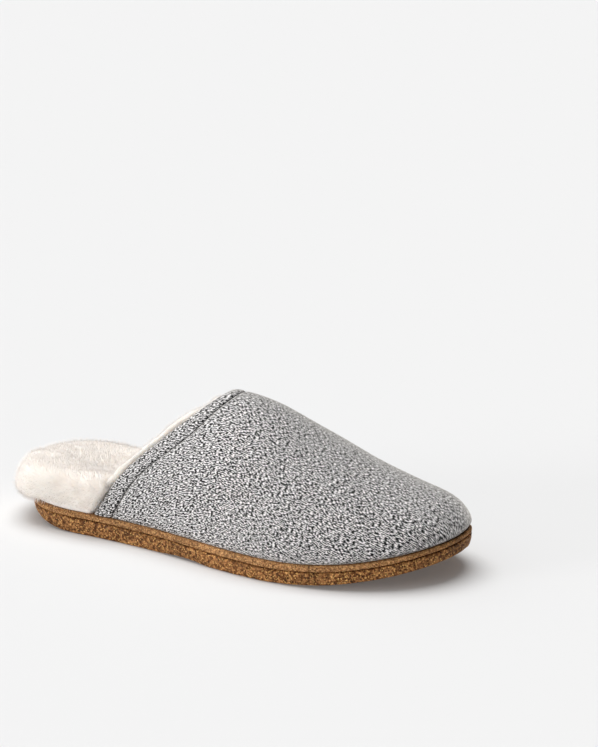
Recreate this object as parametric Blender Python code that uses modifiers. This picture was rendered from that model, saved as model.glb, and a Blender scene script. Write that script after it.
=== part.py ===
"""Mule slipper for the right foot, a backless house shoe.

A two-layer sole of cork and rubber carries a knitted upper with a sewn collar band. A deep fleece
footbed swells out behind the heel, and a roll of fleece edges the collar from inside.

The shoe is worked out in its own frame, in millimetres: x runs from the back of the heel to the toe,
y towards the inner (medial) side of the foot, z up from the floor. A station is a share of LENGTH.
"""

import math
from collections import namedtuple

import bmesh
import bpy
import numpy as np

MM = 0.001

# Driving dimensions, in millimetres
LENGTH = 280.0
TOE_SPRING = 15.2
HEEL_LIFT = 9.0
ARCH_LIFT = 1.2
KNIT_WALL = 2.6
FEATHER_INSET = 2.6
BAND_WIDTH = 9.5
BAND_CROWN_WIDTH = 7.0
BAND_WALL = 3.4
BAND_PROUD = 0.6
FLEECE_ROLL_RADIUS = 4.6
FLEECE_ROLL_DEPTH = 4.6
FLEECE_ROLL_BEHIND = 4.9
CROWN_SHIFT = 4.5
GAP = 0.35

# Where the box around the shoe has its middle, from the back of the sole and from the foot's axis
BOX_MIDDLE_X = 136.0
BOX_MIDDLE_Y = -1.2

# Shares of LENGTH where the sole turns up or its ends round off
HEEL_LIFT_END = 0.19
HEEL_LIFT_POWER = 2.6
ARCH_START = 0.36
ARCH_END = 0.53
SPRING_START = 0.64
HEEL_ROUND = 0.15
TOE_ROUND = 0.238
TOE_ROUND_POWER = 2.24
CROWN_ROUND = 0.181
CROWN_ROUND_POWER = 2.42
STRIP_TAPER = 0.12
STRIP_AT_HEEL_TIP = 1.0

# The sole at six stations: centre line and half width in plan, thickness of its two layers
SoleRow = namedtuple("SoleRow", "along centre half_width outsole strip")
SOLE = (
    SoleRow(0.00, 0.0, 36.0, 10.0, 3.6),
    SoleRow(0.13, 0.0, 35.5, 10.0, 3.6),
    SoleRow(0.38, -3.0, 38.3, 9.5, 3.8),
    SoleRow(0.68, -2.0, 52.4, 8.1, 4.2),
    SoleRow(0.85, 3.2, 49.9, 7.5, 3.7),
    SoleRow(1.00, 10.7, 46.6, 7.1, 3.2),
)

# The upper at seven stations: crown above the feather line, and how far its foot bulges outwards
UpperRow = namedtuple("UpperRow", "along crown bulge")
UPPER = (
    UpperRow(0.20, 45.7, 0.3),
    UpperRow(0.30, 60.7, 0.6),
    UpperRow(0.50, 78.6, 1.0),
    UpperRow(0.62, 68.7, 1.4),
    UpperRow(0.75, 51.2, 2.0),
    UpperRow(0.88, 34.1, 2.9),
    UpperRow(1.00, 30.2, 2.7),
)
BULGE_HEIGHT_SHARE = 0.2

# The collar line: the station where the upper starts, by share of the crown's height
CollarRow = namedtuple("CollarRow", "height_share along")
COLLAR = (
    CollarRow(0.00, 0.209),
    CollarRow(0.30, 0.243),
    CollarRow(0.60, 0.301),
    CollarRow(0.85, 0.406),
    CollarRow(1.00, 0.470),
)

# Share of the crown's height from which the band narrows towards the crown
BAND_NARROWS = 0.7

# The side of each sole layer, from its lower face up: share of the layer's height, inset in plan
SideRow = namedtuple("SideRow", "name rise inset")
OUTSOLE_SIDE = (
    SideRow("tread edge", 0.00, 1.8),
    SideRow("tread corner", 0.08, 0.9),
    SideRow("wall", 0.45, 0.3),
    SideRow("lip", 0.90, 0.0),
    SideRow("groove", 1.00, 1.4),
)
STRIP_SIDE = (
    SideRow("groove", 0.00, 1.4),
    SideRow("lip", 0.12, 0.1),
    SideRow("wall", 0.60, 0.0),
    SideRow("top corner", 0.88, 0.6),
    SideRow("top edge", 1.00, 1.9),
)

# The footbed's pile, from its base up and over the crest to the dished middle. Insets are from the
# sole's outline, and a negative one hangs over it: behind the heel, beside it, and inside the upper.
PileRow = namedtuple("PileRow", "name rise back_inset side_inset upper_inset")
PILE = (
    PileRow("base", 0.00, 2.6, 3.4, 8.2),
    PileRow("foot", 0.10, -1.8, 2.2, 8.0),
    PileRow("swell", 0.28, -8.8, 1.0, 8.2),
    PileRow("belly", 0.50, -10.6, 0.4, 9.0),
    PileRow("shoulder", 0.76, -8.6, 1.0, 11.0),
    PileRow("crest", 0.96, -4.6, 4.2, 14.5),
    PileRow("top", 1.00, 3.2, 9.4, 18.5),
    PileRow("inner slope", 0.92, 12.0, 15.5, 23.0),
    PileRow("dish", 0.80, 21.0, 21.5, 27.0),
)
PILE_HEEL = 22.0
PILE_UPPER = 9.5
PILE_BACK_END = 0.085
PILE_INSIDE_UPPER = 0.203
PILE_FOLLOWS_COLLAR = 0.045
PILE_DRAWS_IN = 0.036
PILE_LOW_FROM = 0.33
PILE_CREST = 6
HOLLOW_FROM = 0.09
HOLLOW_FULL = 0.2
HEEL_FILL = 0.75

# The locks of the pile: soft bumps in rows up its flank, staggered from row to row
LOCK_HEIGHT = 2.6
LOCK_RADIUS = 7.5
LOCK_SPACING = 12.0
LOCK_LEAN = 2.0
LOCK_ROWS = (0.22, 0.42, 0.62, 0.82, 1.0)
ROLL_LOCK_SHARE = 0.12
ROLL_LOCKS_ALONG = 17
ROLL_END_SHARE = 0.46

# How finely each piece is divided
SOLE_STEPS = 44
PILE_STEPS = 76
GIRTH_STEPS = 36
VAMP_STEPS = 28
BAND_STEPS = 5
ROLL_STEPS = 46
ROLL_SIDES = 10


# Curves through the tables

def spline(knots, values):
    """A natural cubic spline through a table's column, as a function of its first column."""
    knots, values = np.asarray(knots, float), np.asarray(values, float)
    spans = np.diff(knots)
    slopes = np.diff(values) / spans
    count = len(knots)
    system, load = np.eye(count), np.zeros(count)
    for i in range(1, count - 1):
        system[i, i - 1 : i + 2] = spans[i - 1], 2 * (spans[i - 1] + spans[i]), spans[i]
        load[i] = 6 * (slopes[i] - slopes[i - 1])
    bend = np.linalg.solve(system, load)

    def at(where):
        where = np.asarray(where, float)
        i = np.clip(np.searchsorted(knots, where) - 1, 0, count - 2)
        left, right, span = where - knots[i], knots[i + 1] - where, spans[i]
        cubic = (bend[i] * right**3 + bend[i + 1] * left**3) / (6 * span)
        start = values[i] / span - bend[i] * span / 6
        end = values[i + 1] / span - bend[i + 1] * span / 6
        return cubic + start * right + end * left

    return at


def column(table, key, value):
    """A spline through one named column of a table."""
    return spline([getattr(row, key) for row in table], [getattr(row, value) for row in table])


centre_line = column(SOLE, "along", "centre")
sole_half_width = column(SOLE, "along", "half_width")
outsole_height = column(SOLE, "along", "outsole")
strip_height = column(SOLE, "along", "strip")
crown_height = column(UPPER, "along", "crown")
foot_bulge = column(UPPER, "along", "bulge")
collar_station = column(COLLAR, "height_share", "along")


def eased(start, end, where):
    """0 before start, 1 after end, and a smooth step between them."""
    share = np.clip((where - start) / (end - start), 0, 1)
    return share * share * (3 - 2 * share)


def round_end(share, power):
    """How a width or height closes over a rounded end, as share goes from 0 to 1."""
    return (1 - np.clip(share, 0, 1) ** power) ** (1 / power)


# The last: plan outline and heights of the sole

def half_width(station, inset):
    """Half width of the sole's outline drawn in by inset, with both ends rounded."""
    heel_tip, toe_tip = inset / LENGTH, 1 - inset / LENGTH
    heel = round_end((heel_tip + HEEL_ROUND - station) / HEEL_ROUND, 2)
    toe = round_end((station - toe_tip + TOE_ROUND) / TOE_ROUND, TOE_ROUND_POWER)
    return (sole_half_width(np.clip(station, 0, 1)) - inset) * heel * toe


def tread_z(station):
    """Underside of the outsole: flat under heel and forefoot, lifted at heel, arch and toe."""
    heel = HEEL_LIFT * np.clip(1 - station / HEEL_LIFT_END, 0, 2) ** HEEL_LIFT_POWER
    arch_share = np.clip((station - ARCH_START) / (ARCH_END - ARCH_START), 0, 1)
    arch = ARCH_LIFT * np.sin(math.pi * arch_share) ** 2
    return heel + arch + toe_lift(station)


def toe_lift(station):
    """How far the toe spring raises the sole."""
    return TOE_SPRING * np.clip((station - SPRING_START) / (1 - SPRING_START), 0, 2) ** 2


def groove_z(station):
    """Top of the outsole, where the groove parts it from the strip."""
    return toe_lift(station) + outsole_height(np.clip(station, 0, 1))


def sole_top_z(station):
    """Top of the strip, which runs thin round the back of the heel."""
    taper = np.clip(1 - station / STRIP_TAPER, 0, 1) ** 2
    strip = strip_height(np.clip(station, 0, 1))
    return groove_z(station) + strip - (strip - STRIP_AT_HEEL_TIP) * taper


def ring(steps, inset, height):
    """A closed ring of points round the sole: the lateral side from heel to toe, then the medial side
    back. inset is a size or a function of the station, and height gives z at a station."""
    inset_at = inset if callable(inset) else (lambda station: np.full_like(station, inset))
    heel_tip = float(inset_at(np.zeros(1))[0]) / LENGTH
    toe_tip = 1 - float(inset_at(np.ones(1))[0]) / LENGTH
    turn = np.linspace(0, math.pi, steps + 1)
    station = heel_tip + (toe_tip - heel_tip) * (1 - np.cos(turn)) / 2
    half = half_width(station, inset_at(station))
    half[0] = half[-1] = 0.0
    middle = centre_line(np.clip(station, 0, 1))
    lateral = np.stack([station * LENGTH, middle - half, height(station)], axis=1)
    medial = np.stack([station * LENGTH, middle + half, height(station)], axis=1)
    return np.concatenate([lateral, medial[-2:0:-1]])


# The upper: one surface, from which the vamp, the band and the fleece roll are taken

FEATHER_TIP = 1 - FEATHER_INSET / LENGTH


def edge_normals(station):
    """Outward normals of the feather line in plan, on the lateral and the medial side."""
    step = 1e-4
    before, after = station - step, np.minimum(station + step, FEATHER_TIP)
    run = (after - before) * LENGTH
    turn = (centre_line(after) - centre_line(before)) / run
    close = (half_width(after, FEATHER_INSET) - half_width(before, FEATHER_INSET)) / run
    lateral = np.stack([turn - close, -np.ones_like(run)], axis=-1)
    medial = np.stack([-turn - close, np.ones_like(run)], axis=-1)
    return (lateral / np.linalg.norm(lateral, axis=-1, keepdims=True),
            medial / np.linalg.norm(medial, axis=-1, keepdims=True))


def upper_surface(station, angle):
    """Points of the knit's outer face. The angle is 0 at the lateral feather line, a quarter turn at
    the crown and a half turn at the medial feather line."""
    station, angle = np.broadcast_arrays(np.asarray(station, float), np.asarray(angle, float))
    closing = round_end((station - FEATHER_TIP + CROWN_ROUND) / CROWN_ROUND, CROWN_ROUND_POWER)
    crown = crown_height(station) * closing
    rise, side = np.sin(angle), np.cos(angle)
    x = station * LENGTH
    y = centre_line(station) + CROWN_SHIFT * rise**2 * closing - half_width(station, FEATHER_INSET) * side
    z = sole_top_z(station) + GAP + crown * rise
    height_share = closing * rise / BULGE_HEIGHT_SHARE
    swell = foot_bulge(station) * height_share * np.exp(1 - height_share)
    lateral, medial = edge_normals(station)
    outwards = (lateral * (1 + side)[..., None] + medial * (1 - side)[..., None]) / 2
    return np.stack([x + swell * outwards[..., 0], y + swell * outwards[..., 1], z], axis=-1)


def upper_frame(station, angle):
    """Point, forward derivative and outward unit normal of the upper's surface."""
    step = 1e-4
    point = upper_surface(station, angle)
    forward = (upper_surface(station + step, angle) - upper_surface(station - step, angle)) / (2 * step)
    around = upper_surface(station, angle + step) - upper_surface(station, angle - step)
    normal = np.cross(forward, around)
    return point, forward, normal / np.linalg.norm(normal, axis=-1, keepdims=True)


def collar_at(angle):
    """Station of the collar line at this angle round the foot."""
    return collar_station(np.sin(angle))


def band_reach(angle):
    """How many stations ahead of the collar line the band's seam lies, one band width away on the knit."""
    step = 1e-3
    ahead = upper_surface(collar_at(angle + step), angle + step)
    behind = upper_surface(collar_at(angle - step), angle - step)
    along = (ahead - behind) / np.linalg.norm(ahead - behind, axis=-1, keepdims=True)
    _, forward, _ = upper_frame(collar_at(angle), angle)
    across = forward - np.sum(forward * along, axis=-1, keepdims=True) * along
    width = BAND_WIDTH + (BAND_CROWN_WIDTH - BAND_WIDTH) * eased(BAND_NARROWS, 1, np.sin(angle))
    return width / np.linalg.norm(across, axis=-1)


# Blender objects

def clear_scene():
    """Removes what the scene holds at the start."""
    for obj in list(bpy.data.objects):
        bpy.data.objects.remove(obj)


def finish_material(name, colour, roughness):
    """A plain material of that colour."""
    material = bpy.data.materials.new(name)
    material.use_nodes = True
    shader = material.node_tree.nodes["Principled BSDF"]
    shader.inputs["Base Color"].default_value = (*colour, 1.0)
    shader.inputs["Roughness"].default_value = roughness
    shader.inputs["Metallic"].default_value = 0.0
    return material


def add_object(name, bm, material, shoe, smooth_angle=40):
    """Turns a bmesh in millimetres into a named object of the shoe, shaded smooth below an angle."""
    bmesh.ops.scale(bm, vec=(MM, MM, MM), verts=bm.verts)
    mesh = bpy.data.meshes.new(name)
    bm.to_mesh(mesh)
    bm.free()
    mesh.shade_smooth()
    mesh.set_sharp_from_angle(angle=math.radians(smooth_angle))
    mesh.materials.append(material)
    obj = bpy.data.objects.new(name, mesh)
    shoe.users_collection[0].objects.link(obj)
    obj.parent = shoe
    return obj


def ladder_cap(bm, verts):
    """Closes a ring round the sole with rungs between its lateral and medial points."""
    count = len(verts)
    half = count // 2
    bm.faces.new((verts[0], verts[1], verts[count - 1]))
    for i in range(1, half - 1):
        bm.faces.new((verts[i], verts[i + 1], verts[count - i - 1], verts[count - i]))
    bm.faces.new((verts[half - 1], verts[half], verts[half + 1]))


def loft(rings, cap):
    """A closed body through rings of the same number of points, with a cap over each end."""
    bm = bmesh.new()
    rows = [[bm.verts.new(point) for point in points] for points in rings]
    for low, high in zip(rows, rows[1:]):
        for i in range(len(low)):
            following = (i + 1) % len(low)
            bm.faces.new((low[i], low[following], high[following], high[i]))
    cap(bm, rows[0])
    cap(bm, rows[-1])
    bmesh.ops.recalc_face_normals(bm, faces=bm.faces)
    return bm


def flat_cap(bm, verts):
    """Closes a small ring with one face."""
    bm.faces.new(verts)


# The pieces

def make_layer(name, side, floor, ceiling, material, shoe):
    """A layer of the sole: rings up its side, between the floor and ceiling heights."""
    rings = []
    for row in side:
        def height(station, rise=row.rise):
            return floor(station) + (ceiling(station) - floor(station)) * rise
        rings.append(ring(SOLE_STEPS, row.inset, height))
    return add_object(name, loft(rings, ladder_cap), material, shoe)


def make_vamp(material, shoe):
    """The knitted upper from the band's seam to the toe: an open sheet, given its wall by Solidify."""
    bm = bmesh.new()
    bmesh.ops.create_grid(bm, x_segments=VAMP_STEPS, y_segments=GIRTH_STEPS, size=1)
    along = np.array([(v.co.x + 1) / 2 for v in bm.verts])
    angle = np.array([(v.co.y + 1) / 2 for v in bm.verts]) * math.pi
    seam = collar_at(angle) + band_reach(angle) * (1 + GAP / BAND_WIDTH)
    station = seam + (FEATHER_TIP - seam) * np.sin(along * math.pi / 2)
    for vert, point in zip(bm.verts, upper_surface(station, angle)):
        vert.co = point
    bmesh.ops.remove_doubles(bm, verts=bm.verts, dist=0.01)
    bmesh.ops.recalc_face_normals(bm, faces=bm.faces)
    crown = max(bm.faces, key=lambda face: face.calc_center_median().z)
    if crown.normal.z < 0:
        bmesh.ops.reverse_faces(bm, faces=bm.faces)
    vamp = add_object("upper", bm, material, shoe)
    wall = vamp.modifiers.new("knit wall", "SOLIDIFY")
    wall.thickness = KNIT_WALL * MM
    wall.offset = -1
    wall.use_even_offset = True
    return vamp


def make_band(material, shoe):
    """The collar band: a folded strip of knit from the seam to the collar line, a little proud of the
    vamp, with a round folded edge."""
    sections = []
    folded = BAND_WALL / 2
    for angle in np.linspace(0, math.pi, GIRTH_STEPS + 5):
        start, reach = collar_at(angle), band_reach(angle)
        outer, inner = [], []
        for share in np.linspace(0, 1, BAND_STEPS):
            point, _, normal = upper_frame(start + reach * share, angle)
            tuck = BAND_PROUD if 0 < share < 1 else BAND_PROUD / 3
            outer.append(point + normal * tuck)
            inner.append(point - normal * (BAND_WALL - BAND_PROUD))
        point, forward, normal = upper_frame(start, angle)
        fold = point - normal * (folded - BAND_PROUD) - forward / np.linalg.norm(forward) * folded / 2
        sections.append(outer[::-1] + [fold] + inner)
    return add_object("collar_band", loft(sections, flat_cap), material, shoe)


def make_fleece_roll(material, shoe):
    """The edge of the fleece lining, rolled out behind the band, with locks winding round it."""
    first = math.asin(ROLL_END_SHARE)
    sections = []
    for i, angle in enumerate(np.linspace(first, math.pi - first, ROLL_STEPS)):
        point, forward, normal = upper_frame(collar_at(angle), angle)
        forward = forward / np.linalg.norm(forward)
        middle = point - normal * FLEECE_ROLL_DEPTH - forward * FLEECE_ROLL_BEHIND
        ends = min(1.0, 0.45 + min(i, ROLL_STEPS - 1 - i) * 0.3)
        section = []
        for turn in np.arange(ROLL_SIDES) * 2 * math.pi / ROLL_SIDES:
            wave = math.sin(ROLL_LOCKS_ALONG * 2 * angle + 2 * turn) * math.cos(3 * turn - 5 * angle)
            radius = FLEECE_ROLL_RADIUS * ends * (1 + ROLL_LOCK_SHARE * wave)
            section.append(middle + radius * (normal * math.sin(turn) + forward * math.cos(turn)))
        sections.append(section)
    return add_object("collar_fleece", loft(sections, flat_cap), material, shoe, smooth_angle=80)


def pile_height(station):
    """Height of the fleece over the sole: deep at the open heel, lower inside the upper."""
    return PILE_HEEL + (PILE_UPPER - PILE_HEEL) * eased(PILE_INSIDE_UPPER, PILE_LOW_FROM, station)


def pile_ring(number, row):
    """One ring of the fleece footbed. Inside the crest the hollow is shallow at the back of the heel and
    deepens towards the collar."""
    def inset(station):
        side = eased(row.back_inset / LENGTH, row.back_inset / LENGTH + PILE_BACK_END, station)
        behind_band = PILE_INSIDE_UPPER + PILE_FOLLOWS_COLLAR * row.rise
        inside = eased(behind_band - PILE_DRAWS_IN, behind_band, station)
        heel = row.back_inset + (row.side_inset - row.back_inset) * side
        return heel + (row.upper_inset - heel) * inside

    def height(station):
        fill = HEEL_FILL * (1 - eased(HOLLOW_FROM, HOLLOW_FULL, station)) if number > PILE_CREST else 0.0
        rise = row.rise + (1 - row.rise) * fill
        return sole_top_z(np.clip(station, 0, 1)) + GAP + pile_height(station) * rise

    return ring(PILE_STEPS, inset, height)


def lock_tips(rings):
    """Tips of the locks on the open heel: rows up the pile's flank, each shifted by half a lock."""
    rises = [row.rise for row in PILE[:7]]
    tips = []
    for number, rise in enumerate(LOCK_ROWS):
        below = max(i for i in range(len(rises) - 1) if rises[i] < rise)
        share = (rise - rises[below]) / (rises[below + 1] - rises[below])
        path = rings[below] + (rings[below + 1] - rings[below]) * share
        path = np.roll(path, PILE_STEPS, axis=0)
        run = np.concatenate([[0], np.cumsum(np.linalg.norm(np.diff(path, axis=0), axis=1))])
        places = np.arange(LOCK_SPACING * (0.5 + 0.5 * (number % 2)), run[-1], LOCK_SPACING)
        places = places + LOCK_LEAN * np.sin(2.4 * np.arange(len(places)) + number)
        row_tips = np.stack([np.interp(places, run, path[:, axis]) for axis in range(3)], axis=1)
        tips.append(row_tips[row_tips[:, 0] < (PILE_INSIDE_UPPER - PILE_DRAWS_IN) * LENGTH])
    return np.concatenate(tips)


def make_footbed(material, shoe):
    """The fleece footbed: a swelling body with the locks of its pile fused on at the open heel."""
    rings = [pile_ring(number, row) for number, row in enumerate(PILE)]
    tips = lock_tips(rings)
    bm = loft(rings, ladder_cap)
    bm.normal_update()
    lifted = {}
    for vert in bm.verts:
        away = np.linalg.norm(tips - np.array(vert.co), axis=1).min() / LOCK_RADIUS
        on_sole = vert.co.z < sole_top_z(max(vert.co.x, 0.0) / LENGTH) + GAP + 1.0
        if away < 1 and not on_sole:
            lifted[vert] = vert.co + vert.normal * LOCK_HEIGHT * (1 - away * away) ** 2
    for vert, place in lifted.items():
        vert.co = place
    return add_object("fleece_footbed", bm, material, shoe, smooth_angle=80)


def main():
    """Builds the slipper in a collection of its own, standing on the floor about the origin."""
    clear_scene()
    collection = bpy.data.collections.new("mule_slipper")
    bpy.context.scene.collection.children.link(collection)
    shoe = bpy.data.objects.new("slipper_frame", None)
    shoe.location = (-BOX_MIDDLE_X * MM, -BOX_MIDDLE_Y * MM, 0)
    collection.objects.link(shoe)

    cork = finish_material("cork_rubber", (0.24, 0.105, 0.03), 0.65)
    cork_strip = finish_material("cork_strip", (0.27, 0.125, 0.04), 0.6)
    knit = finish_material("marled_knit", (0.31, 0.31, 0.32), 0.9)
    knit_band = finish_material("band_knit", (0.26, 0.26, 0.27), 0.9)
    fleece = finish_material("cream_fleece", (0.86, 0.80, 0.73), 0.95)
    roll_fleece = finish_material("roll_fleece", (0.88, 0.83, 0.77), 0.95)

    make_layer("outsole", OUTSOLE_SIDE, tread_z, groove_z, cork, shoe)
    make_layer("sole_strip", STRIP_SIDE, lambda station: groove_z(station) + GAP, sole_top_z, cork_strip, shoe)
    make_vamp(knit, shoe)
    make_band(knit_band, shoe)
    make_fleece_roll(roll_fleece, shoe)
    make_footbed(fleece, shoe)


main()
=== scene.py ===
"""Dresses the mule slipper: a right-foot house shoe of marled knit, cream fleece and cork.

Shapes are worked out in the shoe's own frame, in millimetres: x from the back of the heel to the toe,
y towards the inner side of the foot, z up from the floor. A station is a share of the sole's length.
"""

from __future__ import annotations

import logging
import math
from collections.abc import Callable, Sequence
from dataclasses import dataclass, field, fields
from enum import Enum

import bmesh
import bpy
import numpy as np
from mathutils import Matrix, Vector

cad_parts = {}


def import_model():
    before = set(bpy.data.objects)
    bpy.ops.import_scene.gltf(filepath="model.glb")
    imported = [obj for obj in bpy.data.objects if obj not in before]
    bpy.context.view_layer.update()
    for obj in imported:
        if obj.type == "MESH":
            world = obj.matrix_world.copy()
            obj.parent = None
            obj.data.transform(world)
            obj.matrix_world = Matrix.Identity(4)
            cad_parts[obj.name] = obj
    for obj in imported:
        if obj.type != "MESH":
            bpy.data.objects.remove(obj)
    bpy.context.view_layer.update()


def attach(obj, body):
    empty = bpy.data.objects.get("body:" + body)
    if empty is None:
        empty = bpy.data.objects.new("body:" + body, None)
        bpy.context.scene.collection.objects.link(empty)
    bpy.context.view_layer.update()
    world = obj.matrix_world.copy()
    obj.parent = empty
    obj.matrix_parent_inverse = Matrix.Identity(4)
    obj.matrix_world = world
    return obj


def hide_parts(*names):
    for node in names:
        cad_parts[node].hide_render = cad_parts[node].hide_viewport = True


LOG = logging.getLogger("slipper")
MM = 0.001
BODY = "root"
IMAGE_SIZE = (598, 747)
CROWN = math.pi / 2
FULL_TURN = 2 * math.pi
TINY = 1e-12
MERGE_REACH = 1e-6
WHITE = (1.0, 1.0, 1.0, 1.0)
# Where most values of a noise texture lie, and a map's results where it falls instead of rising
NOISE_SPREAD = (0.3, 0.7)
FALLING = (1.0, 0.0)

Colour = tuple[float, float, float]
Point = tuple[float, float, float]
Pair = tuple[float, float]
Range = tuple[float, float]
Faces = list[tuple[int, ...]]
Curve = Callable[[np.ndarray], np.ndarray]
Frame = tuple[np.ndarray, np.ndarray, np.ndarray]
Material = bpy.types.Material
Node = bpy.types.Node
NodeTree = bpy.types.NodeTree
Piece = bpy.types.Object
Socket = bpy.types.NodeSocket


class Spline:
    """A natural cubic spline through a short table."""

    def __init__(self, knots: Sequence[float], values: Sequence[float]) -> None:
        """Solves for the bend at each knot.

        Args:
            knots: Places of the table's rows, rising.
            values: The column's value at each of them.
        """
        self.knots = np.asarray(knots, float)
        self.values = np.asarray(values, float)
        self.spans = np.diff(self.knots)
        slopes = np.diff(self.values) / self.spans
        count = len(self.knots)
        system = np.eye(count)
        pull = np.zeros(count)
        for i in range(1, count - 1):
            before, after = self.spans[i - 1], self.spans[i]
            system[i, i - 1 : i + 2] = before, 2 * (before + after), after
            pull[i] = 6 * (slopes[i] - slopes[i - 1])
        self.bend = np.linalg.solve(system, pull)

    def __call__(self, where: np.ndarray) -> np.ndarray:
        """Reads the curve.

        Args:
            where: Places to read it at.

        Returns:
            The curve's value at each place.
        """
        where = np.asarray(where, float)
        i = np.clip(np.searchsorted(self.knots, where) - 1, 0, len(self.knots) - 2)
        left, right, span = where - self.knots[i], self.knots[i + 1] - where, self.spans[i]
        cubic = (self.bend[i] * right**3 + self.bend[i + 1] * left**3) / (6 * span)
        start = self.values[i] / span - self.bend[i] * span / 6
        end = self.values[i + 1] / span - self.bend[i + 1] * span / 6
        return cubic + start * right + end * left


def curve(rows: Sequence[object], key: str, value: str) -> Spline:
    """Draws one column of a table against another."""
    return Spline([getattr(row, key) for row in rows], [getattr(row, value) for row in rows])


def unit(vectors: np.ndarray) -> np.ndarray:
    """Vectors of the same headings, each one unit long."""
    return vectors / np.maximum(np.linalg.norm(vectors, axis=-1, keepdims=True), TINY)


def eased(start: float, end: float, where: np.ndarray) -> np.ndarray:
    """A smooth step, from 0 at the start to 1 at the end."""
    share = np.clip((where - start) / (end - start), 0, 1)
    return share * share * (3 - 2 * share)


def round_end(share: np.ndarray, power: float) -> np.ndarray:
    """How a size closes over a rounded end, from 1 to 0. A power of 2 is an ellipse, more is squarer."""
    return (1 - np.clip(share, 0, 1) ** power) ** (1 / power)


@dataclass(frozen=True)
class Ripple:
    """A soft random relief, the same on each run: its height, its typical wavelength and its seed."""

    height: float
    wavelength: float
    seed: int
    waves: int = 9
    spread: Range = (0.75, 1.35)

    def at(self, points: np.ndarray) -> np.ndarray:
        """Reads the relief.

        Args:
            points: Places in millimetres.

        Returns:
            Heights of either sign, one per point.
        """
        dice = np.random.default_rng(self.seed)
        total = np.zeros(points.shape[:-1])
        for _ in range(self.waves):
            heading = dice.normal(size=3)
            heading *= FULL_TURN / (self.wavelength * dice.uniform(*self.spread) * np.linalg.norm(heading))
            total += np.sin(points @ heading + dice.uniform(0, FULL_TURN))
        return self.height * (total / math.sqrt(self.waves))


def rippled(points: np.ndarray, ripples: Sequence[Ripple]) -> np.ndarray:
    """Sums several reliefs at these places."""
    return sum(ripple.at(points) for ripple in ripples)


@dataclass(frozen=True)
class SoleRow:
    """The sole at one station: its centre line and half width, and the thickness of its layers."""

    along: float
    centre: float
    half_width: float
    outsole: float
    strip: float


@dataclass(frozen=True)
class UpperRow:
    """The upper at one station: its crown over the feather line, and how far its foot bulges."""

    along: float
    crown: float
    bulge: float


@dataclass(frozen=True)
class CollarRow:
    """A point of the collar line: its share of the crown's height, and its station."""

    height_share: float
    along: float


@dataclass(frozen=True)
class SideRow:
    """A ring round a sole layer: its share of the layer's height, and its inset in plan."""

    rise: float
    inset: float


@dataclass(frozen=True)
class PileRow:
    """A ring of the footbed: its share of the pile's height, and its inset at three places."""

    rise: float
    back_inset: float
    side_inset: float
    upper_inset: float


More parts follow.
